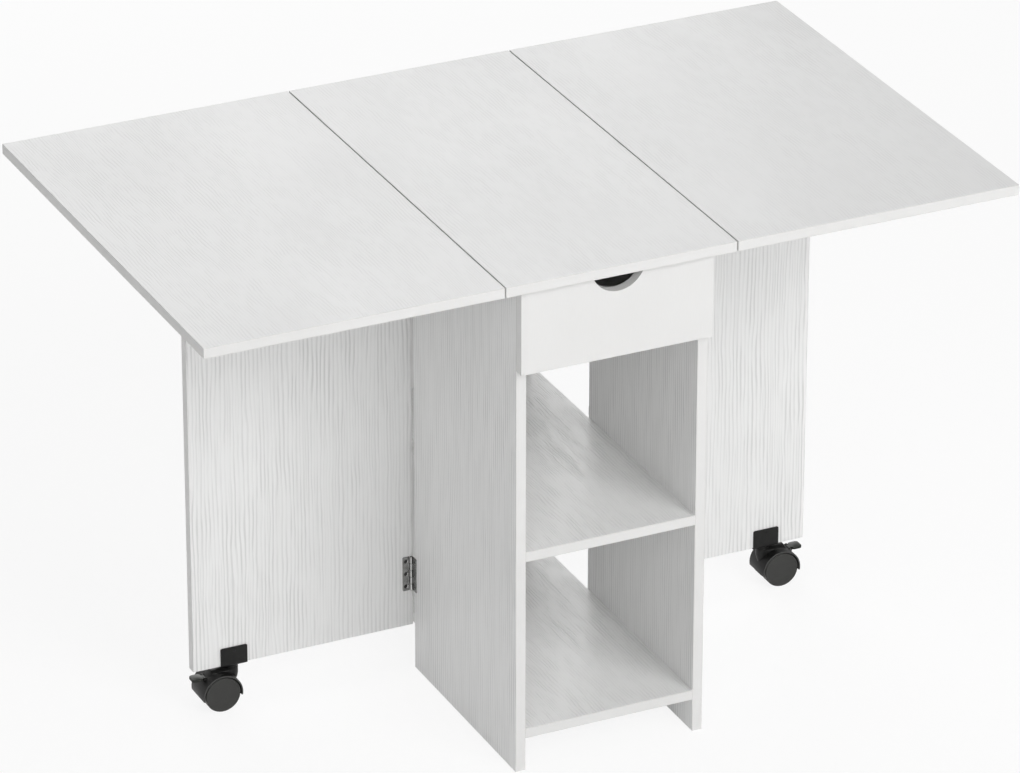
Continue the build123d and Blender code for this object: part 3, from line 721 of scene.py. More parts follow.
def seen_outline(
    centre: Points, low: Points, high: Points, corner: float, round_at: list[Place], turn: Points
) -> Points:
    """The outline of a rectangle as seen from a point inside it, with some corners rounded.

    In each direction the nearer wall is at (wall - centre) / direction. Where that lies beyond the
    centre of a round corner, the outline is where the direction leaves the corner's circle.

    Args:
        centre: The point, shape (2,).
        low: The lowest corner.
        high: The highest corner.
        corner: The radius of the rounded corners.
        round_at: The corners that are rounded, as signs.
        turn: The directions, in radians, shape (m,).

    Returns:
        Points of the shape (m, 2).
    """
    way = np.stack([np.cos(turn), np.sin(turn)], axis=-1)
    way = np.where(np.abs(way) < 1e-9, 1e-9, way)
    reach = ((np.where(way > 0, high, low) - centre) / way).min(axis=1)
    for sign in np.asarray(round_at, float):
        hub = np.where(sign > 0, high - corner, low + corner)
        beyond = (((centre + way * reach[:, None] - hub) * sign) > 0).all(axis=1)
        along = way @ (hub - centre)
        square = along**2 - ((hub - centre) ** 2).sum() + corner**2
        reach = np.where(beyond, along + np.sqrt(np.maximum(square, 0)), reach)
    return centre + way * reach[:, None]


# The cart's parts


class Side(Enum):
    """The two halves of the cart."""

    LEFT = -1
    RIGHT = 1

    @property
    def word(self) -> str:
        """The side as the nodes' names have it."""
        return self.name.lower()


def corners(node: str) -> tuple[Points, Points]:
    """The lowest and the highest corner of a node, as arrays."""
    low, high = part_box(node)
    return np.array(low), np.array(high)


def joint_place(name: str) -> Points:
    """The place of a joint of the frame, in metres."""
    return np.array(next(joint["pos_m"] for joint in frame["joints"] if joint["name"] == name), float)


def dress_node(node: str, finish: Finish) -> None:
    """Gives one of the frame's own nodes a finish.

    Args:
        node: The node's name.
        finish: Its finish.
    """
    shown = frame["nodes"][node]
    if not shown.material_slots:
        shown.data.materials.append(finish.material())
    for slot in shown.material_slots:
        slot.material = finish.material()
    log.info("%s: %s", node, finish.name)


@dataclass
class Boards:
    """The foil-faced boards, in groups with the axes across and along their grain and their look."""

    groups: tuple[tuple[tuple[str, ...], int, int, dict[str, Any]], ...] = (
        (
            ("centre_top", "left_leaf", "right_leaf"), X, Y,
            {
                "spacing": 0.0048, "breaks": 2.4, "contrast": 0.36, "depth": 0.0003,
                # A darker copy of the white foil for the top and the leaves: painted shade that tones down
                # their upward faces.
                "light": (0.733, 0.733, 0.73), "groove": (0.575, 0.575, 0.572),
            },
        ),
        (
            ("middle_shelf", "bottom_shelf"), X, Y,
            {"spacing": 0.0048, "breaks": 2.4, "contrast": 0.42, "depth": 0.0009},
        ),
        (("left_side_panel", "right_side_panel"), Y, Z, {}),
        (("left_gate", "right_gate", "rear_panel"), X, Z, {}),
        (("drawer_front",), X, Z, {"bore": Bore.BANDED, "plain": True}),
        (("drawer_left_side", "drawer_right_side"), Z, Y, {"plain": True}),
        (("drawer_back",), Z, X, {"plain": True}),
        (("drawer_base",), X, Y, {"plain": True}),
    )

    def dress(self) -> None:
        """Gives every board its foil, with its own edges."""
        for nodes, across, along, look in self.groups:
            for node in nodes:
                low, high = corners(node)
                dress_node(node, FoilBoard(f"foil_{node}", across, along, tuple(low), tuple(high), **look))


@dataclass
class Hinge:
    """One butt hinge: two plates whose knuckles are rolled round a pin.

    Locally z runs along the pin, x out along a plate and y towards the board under it.
    """

    pin: Points
    length: float = 0.053
    reach: float = 0.013
    plate: float = 0.0011
    seat: float = 0.0025
    corner: float = 0.0024
    edge: float = 0.0002
    knuckle: float = 0.0022
    gap: float = 0.0003
    count: int = 5
    pin_radius: float = 0.0011
    pin_fit: float = 0.00006
    pin_proud: float = 0.0004
    screw_reach: float = 0.0077
    screw_pitch: float = 0.0195
    screw_radius: float = 0.0012
    screw_length: float = 0.0109
    sink_top: float = 0.0031
    sink_bottom: float = 0.0021
    head_drop: float = 0.0006
    head: CrossedHead = CrossedHead(0.0024, 0.0003, 0.0012, 0.0003, 0.0005)

    def local(self, plate_way: Place, board_way: Place) -> Local:
        """The local frame of the leaf that reaches one way and seats another."""
        return Local(self.pin, plate_way, board_way, np.cross(plate_way, board_way))

    def plate_part(self, low: float, high: float, screw: float) -> Points:
        """One third of a plate, round its countersunk screw hole, as a ring that closes on itself.

        Its section runs up the sink's cone, over the face to the outline, down the edge and back
        underneath. The two ends of the plate have round outer corners. Directions run at equal
        steps round the hole, and also to each corner.

        Args:
            low: The third's lower end along the pin.
            high: Its upper end.
            screw: The screw's height along the pin.

        Returns:
            Rings of the shape (6, points a ring, 3) in the leaf's frame.
        """
        start = self.knuckle + self.gap
        centre = np.array([self.screw_reach, screw])
        tips = [sign for sign, end in ((-1, low), (1, high)) if abs(end) > self.length / 2 - 1e-6]
        to_corners = [
            math.atan2(z - screw, x - self.screw_reach) % (2 * math.pi)
            for x in (start, self.reach)
            for z in (low, high)
        ]
        turn = np.unique(np.concatenate([np.linspace(0, 2 * np.pi, 72, endpoint=False), to_corners]))
        least, most = np.array([start, low]), np.array([self.reach, high])
        outline = seen_outline(centre, least, most, self.corner, [(1, tip) for tip in tips], turn)
        floor = low + self.edge if -1 in tips else low
        roof = high - self.edge if 1 in tips else high
        face = np.clip(outline, (-np.inf, floor), (self.reach - self.edge, roof))
        circle = np.stack([np.cos(turn), np.sin(turn)], axis=-1)
        top = self.seat - self.plate
        rings = (
            (centre + circle * self.sink_bottom, self.seat),
            (centre + circle * self.sink_bottom, self.seat - self.edge / 2),
            (centre + circle * self.sink_top, top),
            (face, top),
            (outline, top + self.edge),
            (outline, self.seat),
        )
        return np.stack([np.insert(flat, 1, height, axis=1) for flat, height in rings])

    def leaf(self, skin: Skin, local: Local, fixed: bool) -> None:
        """Adds one leaf: its plate in three parts and its rolled knuckles.

        Each knuckle is a strip whose middle line runs along the plate, dips to the pin's radius and
        turns about three quarters round the pin.

        Args:
            skin: The piece.
            local: The leaf's frame.
            fixed: Whether it has the odd knuckles.
        """
        bounds = np.array([-self.length, -self.screw_pitch, self.screw_pitch, self.length]) / 2
        for n in range(3):
            skin.add(local.out(self.plate_part(*bounds[n:n + 2], (n - 1) * self.screw_pitch)), Ends.JOINED)
        pitch = (self.length + self.gap) / self.count
        sheet = self.knuckle - self.pin_radius - self.pin_fit
        middle = self.knuckle - sheet / 2
        flat = self.seat - self.plate / 2
        t = np.linspace(0, 1, 7)
        lead_in = np.linspace(self.knuckle + self.gap + 0.0035, 0.0009, 7)
        lead = np.stack([lead_in, flat + (middle - flat) * t**2 * (3 - 2 * t)], axis=-1)
        path = np.vstack([lead, arc((0, 0), middle, 96, 372, 26)])
        for place in range(0 if fixed else 1, self.count, 2):
            strip = ribbon(path, (pitch - self.gap) / 2, sheet, 0.00015)
            strip[..., 2] += (place - (self.count - 1) / 2) * pitch
            skin.add(local.out(strip))

    def rod(self, skin: Skin, way: Place) -> None:
        """Adds the pin: a rod with domed heads just past the knuckles.

        Args:
            skin: The piece.
            way: The pin's direction.
        """
        dome = ((0.02, 0.0), (0.5, 0.04), (0.85, 0.2), (1.0, 0.5))  # out and down, in radii
        end, r = self.length / 2 + self.pin_proud, self.pin_radius
        profile = mirrored([(out * r, end - down * r) for out, down in dome])
        skin.add(Local(self.pin, (1, 0, 0), np.cross(way, (1, 0, 0)), way).out(lathe(profile, 20)))

    def screws(self, skin: Skin, local: Local) -> None:
        """Adds the three crossed screws of one leaf, their heads down in the sinks.

        Args:
            skin: The piece.
            local: The leaf's frame.
        """
        depth = self.seat - self.plate + self.head_drop
        r = self.screw_radius
        shank = [(0.0022, -0.0002), (r, -0.0014), (r, -0.0078), (0.0002, self.head_drop - self.screw_length)]
        for n in (-1, 0, 1):
            spot = local.out(np.array([self.screw_reach, depth, n * self.screw_pitch]))
            tilt = 0.4 + 0.9 * n  # each cross stands at its own angle
            way = -np.asarray(local.y, float)
            x = math.cos(tilt) * np.asarray(local.x) + math.sin(tilt) * np.asarray(local.z)
            seat = Local(spot, x, np.cross(way, x), way)
            skin.add(seat.out(self.head.points()))
            skin.add(seat.out(lathe(shank, 16)))


@dataclass
class HingeRow:
    """The hinges of both gates or both leaves. Directions are the right side's.

    It holds the moving bodies' name, the pins' axis, the hinges on a side, which ways the fixed
    plate, its board and the moving board lie, the first words of the cabinet's nodes, the name of
    the moving screws' nodes, and the finishes.
    """

    moves: str
    axis: int
    count: int
    fixed_plate: Place
    fixed_board: Place
    moving_board: Place
    prefix: str
    screw_node: str
    steel: Finish
    # Near-black tones: painted shade of the screws' countersinks.
    screw: Finish = SatinSteel("zinc_screw", (0.07, 0.07, 0.069), (0.04, 0.04, 0.039), 0.26, X)

    def __post_init__(self) -> None:
        """Starts the cabinet's own pieces, which both sides share."""
        self.fixed_leaves, self.rods, self.fixed_screws = Skin(), Skin(), Skin()

    def pins(self, joint: str) -> Points:
        """The middles of one joint's pins, from one end of its leaves' box to the other.

        Args:
            joint: The joint's name, with which the leaves' node starts.

        Returns:
            Points of the shape (count, 3).
        """
        low, high = corners(f"{joint}_leaves")
        half = Hinge.length / 2
        places = np.tile(joint_place(joint), (self.count, 1))
        places[:, self.axis] = np.linspace(low[self.axis] + half, high[self.axis] - half, self.count)
        return places

    def build_side(self, side: Side) -> None:
        """Makes one side's moving leaves and screws, and adds to the cabinet's pieces.

        Args:
            side: The side.
        """
        body = f"{side.word}_{self.moves}"
        flip = np.array([side.value, 1.0, 1.0])
        leaves, screws = Skin(), Skin()
        for hinge in map(Hinge, self.pins(f"{body}_hinge")):
            fixed = hinge.local(flip * self.fixed_plate, flip * self.fixed_board)
            moving = hinge.local(flip * (1, 0, 0), flip * self.moving_board)
            hinge.leaf(self.fixed_leaves, fixed, True)
            hinge.screws(self.fixed_screws, fixed)
            hinge.leaf(leaves, moving, False)
            hinge.screws(screws, moving)
            hinge.rod(self.rods, np.eye(3)[self.axis])
        for skin, name, finish, node in (
            (leaves, "hinge_rolls", self.steel, "hinge_leaves"),
            (screws, "crossed_screws", self.screw, self.screw_node),
        ):
            skin.piece(f"{body}_{name}", finish, body, "zinc_steel", f"{body}_{node}")

    def build_fixed(self) -> None:
        """Makes the cabinet's leaves, pins and screws, once both sides are built."""
        for skin, name, finish, node in (
            (self.fixed_leaves, "fixed_rolls", self.steel, "fixed_leaves"),
            (self.rods, "domed_pins", self.steel, "pins"),
            (self.fixed_screws, "fixed_crossed_screws", self.screw, "fixed_screws"),
        ):
            skin.piece(f"{self.prefix}_{name}", finish, "cabinet", "zinc_steel", f"{self.prefix}_{node}")


@dataclass
class Caster:
    """One gate's caster: bracket, stem, housing with its hood, axle, two wheels and a brake pedal.

    Locally x runs outwards from the swivel axis, z up from the floor and y across the wheels.
    """

    side: Side
    enamel: Finish = Moulded(
        "bracket_enamel", (0.009, 0.009, 0.0085), (0.018, 0.018, 0.017), 0.42, 1500.0, 0.00003, 0.2
    )
    lever: Finish = Moulded(
        "pedal_green_grey", (0.017, 0.019, 0.016), (0.036, 0.039, 0.034), 0.42, 2600.0, 0.00004, 0.22
    )
    steel: Finish = SatinSteel("zinc_axle", (0.45, 0.45, 0.44), (0.3, 0.3, 0.295), 0.34, Y)
    dark_screw: Finish = SatinSteel("black_screw", (0.05, 0.05, 0.05), (0.025, 0.025, 0.025), 0.45)
    neck: float = 0.0095
    stem_bore: float = 0.0042
    web: float = 0.0055
    hood_wall: float = 0.0022
    skirt: float = -10.0
    saddle_top: float = 0.0584
    saddle_arch: float = 0.003
    saddle_brow: float = 0.011
    saddle_foot: float = 0.018
    saddle_foot_top: float = 0.049
    saddle_round: float = 0.0022
    disc_drop: float = 0.0005
    rim_width: float = 0.0022
    tread_round: float = 0.0013
    wheel_back: float = 0.003
    hub: float = 0.008
    axle: float = 0.0031
    axle_depth: float = 0.0112
    boss: float = 0.009
    pole: float = 0.0004
    spokes: int = 6
    bevel: float = 0.0003
    pin_bore: float = 0.0016
    lug_radius: float = 0.0034
    lug_inner: float = 0.0049
    lug_outer: float = 0.0075
    barrel_radius: float = 0.0027
    barrel_half: float = 0.0046
    pedal_root: float = 0.0008
    pedal_heel: float = 0.0026
    pedal_heel_round: float = 0.0045
    pedal_neck_half: float = 0.0046
    pedal_half: float = 0.00925
    pedal_tip_round: float = 0.0055
    pedal_thick: float = 0.003
    pedal_dome: float = 0.0016
    pedal_edge: float = 0.0008
    pedal_wall: float = 0.0014
    hollow_start: float = 0.0055
    hollow_end: float = 0.0018
    hollow_ease: float = 0.0006
    sheet: float = 0.0022
    sheet_bend: float = 0.0016
    sheet_corner: float = 0.0016
    face_screw_drop: float = 0.0055
    flange_screw_offset: float = 0.014
    head: CrossedHead = CrossedHead(0.0026, 0.0004, 0.0013, 0.0003, 0.0007)

    def __post_init__(self) -> None:
        """Reads the caster's places from the frame."""
        word = self.side.word
        low, high = corners(f"{word}_caster_stem")
        self.swivel = np.array([(low[0] + high[0]) / 2, (low[1] + high[1]) / 2, 0.0])
        k = float(self.side.value)
        self.local = Local(self.swivel, (k, 0, 0), (0, k, 0), (0, 0, 1))
        low, high = corners(f"{word}_front_wheel")
        self.radius = (high[2] - low[2]) / 2
        self.trail = abs((low[0] + high[0]) / 2 - self.swivel[0])
        low, high = corners(f"{word}_rear_wheel")
        self.inner, self.outer = abs(low[1] - self.swivel[1]), abs(high[1] - self.swivel[1])
        low, high = corners(f"{word}_caster_housing")
        self.half_hood, self.neck_top = (high[1] - low[1]) / 2, high[2]
        self.hood = max(abs(low[0] - self.swivel[0]), abs(high[0] - self.swivel[0])) - self.trail
        pin = joint_place(f"{word}_brake")
        self.pivot = abs(pin[0] - self.swivel[0]), pin[2]

    def across(self, points: Points, spot: Optional[tuple[float, float]] = None) -> Points:
        """Turns shapes about z into shapes about the axle, or about a line across the wheels.

        Args:
            points: Points (x, y, z), which become (out + x, z, up + y).
            spot: The line's distance out from the swivel axis and its height.

        Returns:
            The points in the cart's frame.
        """
        out, up = spot or (self.trail, self.radius)
        return self.local.out(points[..., [0, 2, 1]] + (out, 0.0, up))

    def piece(self, skin: Skin, name: str, finish: Finish, body: str, slot: str, *nodes: str) -> None:
        """Makes a skin a piece of this side. The names are given without the side's word."""
        name, body, *nodes = (f"{self.side.word}_{part}" for part in (name, body, *nodes))
        skin.piece(name, finish, body, slot, *nodes)

    def wheel_profile(self) -> Points:
        """The wheel's section as radii and distances from the caster's middle, a closed loop.

        A flat disc face, a fine step and a narrow rim, a round shoulder, a slightly crowned tread,
        the inner shoulder, a hollow back with a hub, and the blind bore.

        Returns:
            Points of the shape (n, 2).
        """
        r, low, high, s, e = self.radius, self.inner, self.outer, self.tread_round, self.bevel
        edge, face = r - self.rim_width, high - self.disc_drop
        back, end = low + self.wheel_back, low + self.axle_depth
        disc = [(self.pole, face), (0.3 * r, face), (edge - 0.0008, face)]
        step = [(edge - 0.0002, high - 0.6 * self.disc_drop), (edge + e, high)]
        crown = [(r - 0.0001, high - 0.004), (r, (low + high) / 2), (r - 0.0001, low + 0.004)]
        hollow = [(r - 0.0034, low + 0.0002), (r - 0.0037, back)]
        hub = [(self.hub + e, back), (self.hub, low + e), (self.hub - 0.0004, low)]
        bore = [(self.axle + e, low), (self.axle, low + e), (self.axle, end), (self.pole, end)]
        shoulders = arc((r - s, high - s), s, 84, 8, 6), arc((r - s, low + s), s, -8, -90, 6)
        return np.vstack([disc, step, shoulders[0], crown, shoulders[1], hollow, hub, bore])

    def wheels(self) -> None:
        """Makes the two wheels, and the spokes behind each disc."""
        hub, rim = self.hub + 0.0002, self.radius - 0.0036
        for end, sign in (("front", -1), ("rear", 1)):
            skin = Skin()
            flip = sign * self.side.value
            skin.add(self.across(lathe(self.wheel_profile() * (1, flip), 96)))
            section = box_ring((rim - hub) / 2, 0.0007, 0.0002, 2)[0] + ((rim + hub) / 2, 0.0)
            bar = rounded_prism(section, 0.0004, 0.0034, 0.0001, 1)
            for turn in np.linspace(0, 2 * np.pi, self.spokes, endpoint=False):
                c, s = math.cos(turn), math.sin(turn)
                turned = Local((0, 0, flip * self.inner), (c, s, 0), (-s, c, 0), (0, 0, flip)).out(bar)
                skin.add(self.across(turned))
            centre = self.across(np.zeros(3))
            finish = TurnedDisc(f"wheel_grey_{self.side.word}", centre[0], centre[2], self.radius)
            body = f"{end}_wheel"
            self.piece(skin, f"{body}_disc", finish, body, "wheel_plastic", body)

    def hood_height(self, x: Points) -> Points:
        """The height of the hood's middle surface at distances out from the swivel axis."""
        reach = self.hood - self.hood_wall / 2
        return self.radius + np.sqrt(np.maximum(reach**2 - (x - self.trail) ** 2, 0.01**2))

    def hood_shell(self, skin: Skin) -> None:
        """Adds the hood: a round cover over both wheels, the web inside it and the axle's boss.

        Args:
            skin: The piece.
        """
        middle = self.hood - self.hood_wall / 2
        chord = arc((0, 0), middle, self.skirt, 180 - self.skirt, 80)
        section = box_ring(self.hood_wall / 2, self.half_hood, 0.0005, 3)[0]
        flat = chord[:, None] * (1 + section[:, :1] / middle)
        along = np.broadcast_to(section[:, 1:], (*flat.shape[:2], 1))
        skin.add(self.across(np.concatenate([flat, along], axis=-1)))
        skin.add(self.across(rounded_prism(chord[::2], -self.web, self.web, 0.0004, 2)))
        cheek = -self.web - 0.0002
        boss = [(self.pole, cheek), (self.boss - 0.0004, cheek), (self.boss, self.bevel - self.web)]
        skin.add(self.across(lathe(mirrored(boss), 40)))

    def saddle(self, skin: Skin) -> None:
        """Adds the saddle between the neck and the pedal: its back arches down towards both sides.

        The block is a prism across the wheels, cut into nine slices, whose underside lies in the
        hood. Its upper points sink by the arch times the square of the distance from the middle
        over the neck's radius.

        Args:
            skin: The piece.
        """
        foot, brow = self.trail + self.saddle_foot, self.trail + self.saddle_brow
        under = np.linspace(0.0, foot - 0.0002, 16)
        side = np.vstack(
            [
                np.stack([under, self.hood_height(under)], axis=-1),
                [(foot, self.saddle_foot_top - 0.0002)],
                arc((brow - 0.0012, self.saddle_top - self.saddle_round), self.saddle_round, 30, 90, 5),
                [(0.0, self.saddle_top)],
            ]
        )
        block = rounded_prism(side, -self.neck, self.neck, 0.0008)
        block = np.concatenate([block[:3], np.linspace(block[3], block[4], 9), block[5:]])
        drop = self.saddle_arch * (block[..., 2] / self.neck) ** 2
        block[..., 1] -= np.where(block[..., 1] > self.hood_height(block[..., 0]) + 0.002, drop, 0.0)
        skin.add(self.local.out(block[..., [0, 2, 1]]))

    def housing(self) -> None:
        """Makes the housing: hood, web, boss, neck, saddle and lugs as closed shells of one piece."""
        skin = Skin()
        self.hood_shell(skin)
        self.saddle(skin)
        top, waist, low = self.neck_top, self.neck - 0.0005, self.radius
        cone = [(0.0045, low + 0.008), (0.0062, low + 0.008), (0.0084, low + 0.016)]
        collar = [(self.neck, low + 0.022), (self.neck, top - 0.0042)]
        groove = [(waist, top - 0.0038), (waist, top - 0.003), (self.neck, top - 0.0026)]
        mouth = [(self.neck, top - 0.0006), (self.neck - 0.0006, top), (self.stem_bore, top)]
        neck = lathe([*cone, *collar, *groove, *mouth, (self.stem_bore, low + 0.012)], 56)
        neck[..., 2] = np.maximum(neck[..., 2], self.hood_height(neck[..., 0]))
        skin.add(self.local.out(neck), Ends.JOINED)
        near, far, rim = self.lug_inner, self.lug_outer, self.lug_radius - self.bevel
        cheek = [(self.pin_bore, near), (rim, near), (self.lug_radius, near + self.bevel)]
        lug = np.array([*cheek, (self.lug_radius, far - self.bevel), (rim, far), (self.pin_bore, far)])
        for sign in (-1, 1):
            skin.add(self.across(lathe(lug * (1, sign), 28), self.pivot), Ends.JOINED)
        # The second tone is the lighter grey of the rims' painted highlight; this hood has little dust.
        black = RimmedHood(
            f"caster_black_{self.side.word}", (0.006, 0.006, 0.0057), (0.062, 0.062, 0.06), 0.4, 3000.0,
            0.00004, 0.2, dusting=0.1, middle=float(self.swivel[1]), half=float(self.half_hood),
        )
        self.piece(skin, "caster_shell", black, "caster", "caster_plastic", "caster_housing")

    def pedal(self) -> None:
        """Makes the brake pedal: a barrel on the pin and a paddle with a turned-down lip.

        The paddle's half width widens from the neck along a quarter circle at the heel and closes
        along another at the tip. Its back is a dome, higher the nearer to the middle of its length
        and width, with rounded edges. Underneath it is hollow inside the lip.
        """
        low, high = corners(f"{self.side.word}_brake_pedal")
        out_to_pin = self.pivot[0]
        tip = max(abs(low[0] - self.swivel[0]), abs(high[0] - self.swivel[0])) - out_to_pin
        thick, edge = self.pedal_thick, self.pedal_edge
        skin = Skin()
        r, end = self.barrel_radius, self.barrel_half
        barrel = mirrored([(self.pin_bore, -end), (r - self.bevel, -end), (r, self.bevel - end)])
        skin.add(self.across(lathe(barrel, 32), self.pivot), Ends.JOINED)

        x = self.pedal_root + (tip - self.pedal_root) * np.linspace(0, 1, 96)
        heel = np.clip((x - self.pedal_heel) / self.pedal_heel_round, 0, 1)
        close = np.clip((x - tip + self.pedal_tip_round) / self.pedal_tip_round, 0, 1)
        swell = (self.pedal_half - self.pedal_neck_half) * np.sqrt(1 - (1 - heel) ** 2)
        half = self.pedal_neck_half + swell - self.pedal_tip_round * (1 - np.sqrt(1 - 0.998 * close**2))

        turn = np.linspace(0, np.pi / 2, 5)
        down, inwards = edge * (1 - np.sin(turn)), edge * (1 - np.cos(turn))
        out = np.concatenate([np.ones(6), np.linspace(1, -1, 21)[1:-1], -np.ones(6)])
        sink = np.concatenate([[thick], down, np.zeros(19), down[::-1], [thick]])
        wide = half[:, None] * out - np.concatenate([[0.0], inwards, np.zeros(19), -inwards[::-1], [0.0]])
        near_tip = np.clip((x - tip + edge) / edge, 0, 1)
        lower = edge * (1 - np.sqrt(1 - 0.96 * near_tip**2))
        crest = np.sin(np.pi * np.clip((x - self.pedal_heel) / (tip - self.pedal_heel), 0, 1)) ** 0.8
        dome = self.pedal_dome * ((wide / self.pedal_half) ** 2 - 1) * crest[:, None]
        deep = np.where(sink < thick, np.maximum(sink, lower[:, None]) + dome, sink)

        t = np.clip(np.minimum(x - self.hollow_start, tip - self.hollow_end - x) / self.hollow_ease, 0, 1)
        hollow = (thick - self.pedal_wall) * t**2 * (3 - 2 * t)
        inner = (half - self.pedal_wall)[:, None] * np.array([-1.0, -1.0, -0.5, 0.0, 0.5, 1.0, 1.0])
        roof = thick - hollow[:, None] * np.array([0, 1, 1, 1, 1, 1, 0])
        y, z = np.hstack([wide, inner]), np.hstack([deep, roof])
        skin.add(self.local.out(np.stack([out_to_pin + x[:, None] + 0 * y, y, high[2] - z], axis=-1)))
        self.piece(skin, "brake_tongue", self.lever, "brake_pedal", "pedal_plastic", "brake_pedal")

    def bracket(self) -> None:
        """Makes the bracket: one strip bent through a round right angle, with clipped top corners.

        The middle line runs down the gate's face, turns a quarter circle under its edge and runs
        back. The half width shrinks along a quarter circle at both ends.
        """
        sheet, corner = self.sheet, self.sheet_corner
        low, high = corners(f"{self.side.word}_caster_bracket")
        bend = self.sheet_bend + sheet / 2
        front, under = low[1] + sheet / 2, low[2] + sheet / 2
        face = np.stack([np.full(24, front), np.linspace(high[2], under + bend, 24)], axis=-1)
        turn = arc((front + bend, under + bend), bend, 180, 270, 8)[1:-1]
        flange = np.stack([np.linspace(front + bend, high[1], 20), np.full(20, under)], axis=-1)
        path = np.vstack([face, turn, flange])
        run = np.concatenate([[0], np.cumsum(np.linalg.norm(np.diff(path, axis=0), axis=1))])
        near = np.clip(corner - np.minimum(run, run[-1] - run), 0, corner)
        half = (high[0] - low[0]) / 2 - corner + np.sqrt(corner**2 - near**2)
        middle = (low[0] + high[0]) / 2
        angle, heads = Skin(), Skin()
        upright = Local((middle, 0, 0), (0, 1, 0), (0, 0, 1), (1, 0, 0))
        angle.add(upright.out(ribbon(path, half, sheet, 0.0004)))
        self.piece(angle, "bracket_angle", self.enamel, "gate", "bracket_steel", "caster_bracket")
        spot = (middle, low[1], high[2] - self.face_screw_drop)
        heads.add(Local(spot, (0.8, 0, 0.6), (0.6, 0, -0.8), (0, -1, 0)).out(self.head.points()))
        for sign in (-1, 1):
            spot = (middle + sign * self.flange_screw_offset, low[1] + sheet + 0.0095, low[2])
            heads.add(Local(spot, (1, 0, 0), (0, -1, 0), (0, 0, -1)).out(self.head.points()))
        self.piece(heads, "bracket_heads", self.dark_screw, "gate", "zinc_steel")

    def build(self) -> None:
        """Makes and dresses the whole caster."""
        self.bracket()
        self.housing()
        self.wheels()
        self.pedal()
        for node, finish in (
            ("caster_pins", self.steel),
            ("caster_stem", self.steel),
            ("bracket_screws", self.dark_screw),
        ):
            dress_node(f"{self.side.word}_{node}", finish)


@dataclass
class Fittings:
    """The small fittings that keep the frame's own shapes: screws, cams, dowels, rails, glides, buffers."""

    screw: Finish = SatinSteel("zinc_shank", (0.48, 0.48, 0.47), (0.3, 0.3, 0.295), 0.36, X)
    cast: Finish = SatinSteel("cast_zinc", (0.42, 0.42, 0.41), (0.28, 0.28, 0.275), 0.5, Y)
    nylon: Finish = Moulded("glide_nylon", (0.74, 0.74, 0.72), (0.62, 0.61, 0.58), 0.35, 1600.0, 0.00002)
    rail: Finish = Moulded("rail_white", (0.68, 0.68, 0.66), (0.55, 0.54, 0.52), 0.42, 1900.0, 0.00003)
    buffer: Finish = Moulded("buffer_white", (0.7, 0.7, 0.69), (0.5, 0.49, 0.47), 0.6, 2600.0, 0.00005)
    beech: Finish = Timber("beech_dowel")
    cam_face: CrossedHead = CrossedHead(0.0072, 0.0003, 0.0038, 0.0007, 0.0016)
    cam_inset: float = 0.024
    cam_rows: tuple[float, float] = (0.045, 0.286)
    rear_cam_offset: float = 0.075

    def dress(self) -> None:
        """Gives each fitting its finish."""
        for ending, finish in (
            ("rail_screws", self.screw),
            ("drawer_back_screws", self.screw),
            ("cam_bolts", self.screw),
            ("_cams", self.cast),
            ("_glides", self.nylon),
            ("carcass_dowels", self.beech),
            ("drawer_rails", self.rail),
            ("panel_buffers", self.buffer),
        ):
            for node in frame["nodes"]:
                if node.endswith(ending):
                    dress_node(node, finish)

    def cam_faces(self) -> None:
        """Makes the crossed faces of the cams on the shelves' undersides."""
        skin = Skin()
        for shelf in ("bottom_shelf", "middle_shelf"):
            low, high = corners(shelf)
            side_x = (high[0] - low[0]) / 2 - self.cam_inset
            spots = [(k * side_x, low[1] + row) for k in (-1, 1) for row in self.cam_rows]
            spots += [(k * self.rear_cam_offset, high[1] - self.cam_inset) for k in (-1, 1)]
            for x, y in spots:
                seat = Local((x, y, low[2] + 0.0001), (0.6, 0.8, 0), (0.8, -0.6, 0), (0, 0, -1))
                skin.add(seat.out(self.cam_face.points()))
        skin.piece("shelf_cam_faces", self.cast, "cabinet", "zinc_alloy")


# The studio


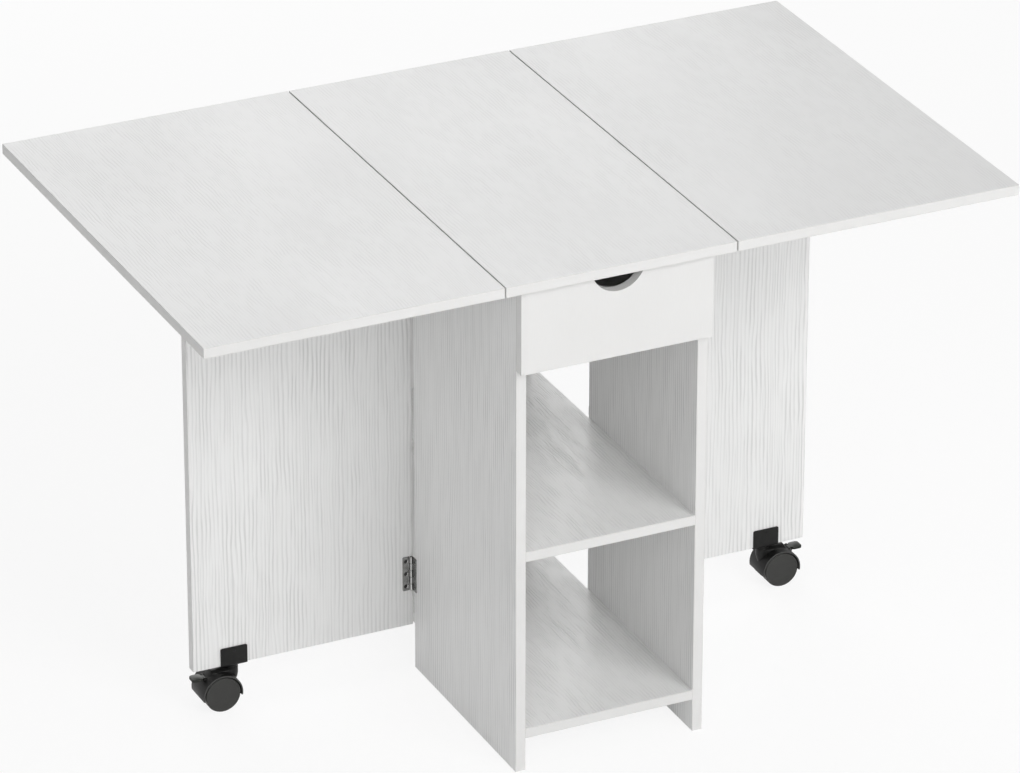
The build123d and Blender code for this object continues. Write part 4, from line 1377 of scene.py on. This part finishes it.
@dataclass
class Studio:
    """The floor, the lamps and the camera."""

    eye: Place = (-3.36679, -7.12707, 4.29038)
    right: Place = (0.904164, -0.427184, 0.000953)
    down: Place = (-0.187852, -0.399603, -0.897234)
    ahead: Place = (0.383665, 0.811068, -0.441554)
    focal_pixels: float = 6318.53
    picture_width: float = 1020.0
    sensor: float = 36.0
    aim: Place = (0.0, 0.0, 0.4)
    horizon: float = 0.61
    zenith: float = 0.03
    floor_white: float = 0.95
    floor_glow: float = 0.87
    floor_size: float = 60.0
    lamps: tuple[tuple[str, Place, float, float], ...] = (
        ("front_lamp", (1.4, -4.6, 3.4), 3.2, 134.0),
        ("left_lamp", (-2.6, -4.2, 3.0), 3.0, 42.0),
        ("low_lamp", (1.0, -5.0, 1.6), 3.0, 9.0),
        ("rear_lamp", (1.0, 5.0, 2.6), 4.0, 138.0),
        ("top_lamp", (0.3, -1.2, 5.5), 4.0, 52.0),
    )

    def camera(self) -> None:
        """Sets the camera: its lens is the focal length in pixels times the sensor over the picture."""
        data = bpy.data.cameras.new("camera")
        data.sensor_width = self.sensor
        data.lens = self.focal_pixels * self.sensor / self.picture_width
        data.clip_end = 200.0
        made = bpy.data.objects.new("camera", data)
        turn = np.eye(4)
        turn[:3, 0], turn[:3, 1], turn[:3, 2] = self.right, -np.array(self.down), -np.array(self.ahead)
        turn[:3, 3] = self.eye
        made.matrix_world = Matrix(turn.tolist())
        bpy.context.scene.collection.objects.link(made)
        bpy.context.scene.camera = made

    def seen(self, graph: Graph) -> Shade:
        """1 for rays from the camera, from gloss and through glass, and 0 for light."""
        camera, glossy, through = (
            graph.out("LightPath", output=f"Is {kind} Ray") for kind in ("Camera", "Glossy", "Transmission")
        )
        return camera.most(glossy).most(through)

    def floor(self) -> None:
        """Makes the floor: plain and pale, white in the picture but for the cart's soft shadow."""
        half = self.floor_size / 2
        mesh = bpy.data.meshes.new("studio_floor")
        square = [(-half, -half, 0), (half, -half, 0), (half, half, 0), (-half, half, 0)]
        mesh.from_pydata(square, [], [(0, 1, 2, 3)])
        made = bpy.data.objects.new("studio_floor", mesh)
        bpy.context.scene.collection.objects.link(made)
        material = bpy.data.materials.new("studio_floor")
        graph = Graph(material)
        pale = (self.floor_white,) * 3
        matt = graph.principled({"Base Color": pale, "Roughness": 0.9, "Specular IOR Level": 0.0})
        glow = graph.out("Emission", {"Color": (1.0, 1.0, 1.0), "Strength": 1.0})
        graph.show(graph.blend(self.seen(graph) * self.floor_glow, matt, glow))
        mesh.materials.append(material)

    def world(self) -> None:
        """Sets the even light all round, weaker overhead, and white where the camera sees it."""
        world = bpy.data.worlds.new("studio_world")
        bpy.context.scene.world = world
        graph = Graph(world)
        height = graph.split(graph.out("TexCoord", output="Generated"))[2].ease(0.3, 0.7)
        light, dim, seen = (
            graph.out("Background", {0: (1.0, 1.0, 1.0), 1: strength})
            for strength in (self.horizon, self.zenith, 1.0)
        )
        graph.show(graph.blend(self.seen(graph), graph.blend(height, light, dim), seen))

    def lamp(self, name: str, place: Place, size: float, watts: float) -> None:
        """Adds one soft square lamp that faces the cart.

        Args:
            name: Its name.
            place: Where it stands.
            size: Its side.
            watts: Its power.
        """
        data = bpy.data.lights.new(name, "AREA")
        data.shape, data.size, data.energy = "SQUARE", size, watts
        made = bpy.data.objects.new(name, data)
        made.location = place
        made.rotation_euler = (Vector(self.aim) - Vector(place)).to_track_quat("-Z", "Y").to_euler()
        bpy.context.scene.collection.objects.link(made)

    def build(self) -> None:
        """Sets the whole studio."""
        bpy.context.scene.view_settings.view_transform = "Standard"
        self.camera()
        self.floor()
        self.world()
        for lamp in self.lamps:
            self.lamp(*lamp)


def main() -> None:
    """Builds the studio and the cart, piece by piece."""
    logging.basicConfig(level=logging.INFO, format="%(name)s %(message)s")
    Studio().build()
    Boards().dress()
    bright, dull = (0.37, 0.37, 0.365), (0.25, 0.25, 0.245)
    upright = RolledSteel("zinc_hinge_upright", bright, dull, 0.24, Z)
    flat = SatinSteel("zinc_hinge_flat", bright, dull, 0.24, Y)
    rows = (
        HingeRow("gate", Z, 2, (0, -1, 0), (-1, 0, 0), (0, 1, 0), "gate_hinge", "hinge_screws", upright),
        HingeRow("leaf", Y, 3, (-1, 0, 0), (0, 0, 1), (0, 0, 1), "top_hinge", "screws", flat),
    )
    for side in Side:
        for row in rows:
            row.build_side(side)
    for row in rows:
        row.build_fixed()
    for side in Side:
        Caster(side).build()
    fittings = Fittings()
    fittings.dress()
    fittings.cam_faces()


if __name__ == "__main__":
    main()
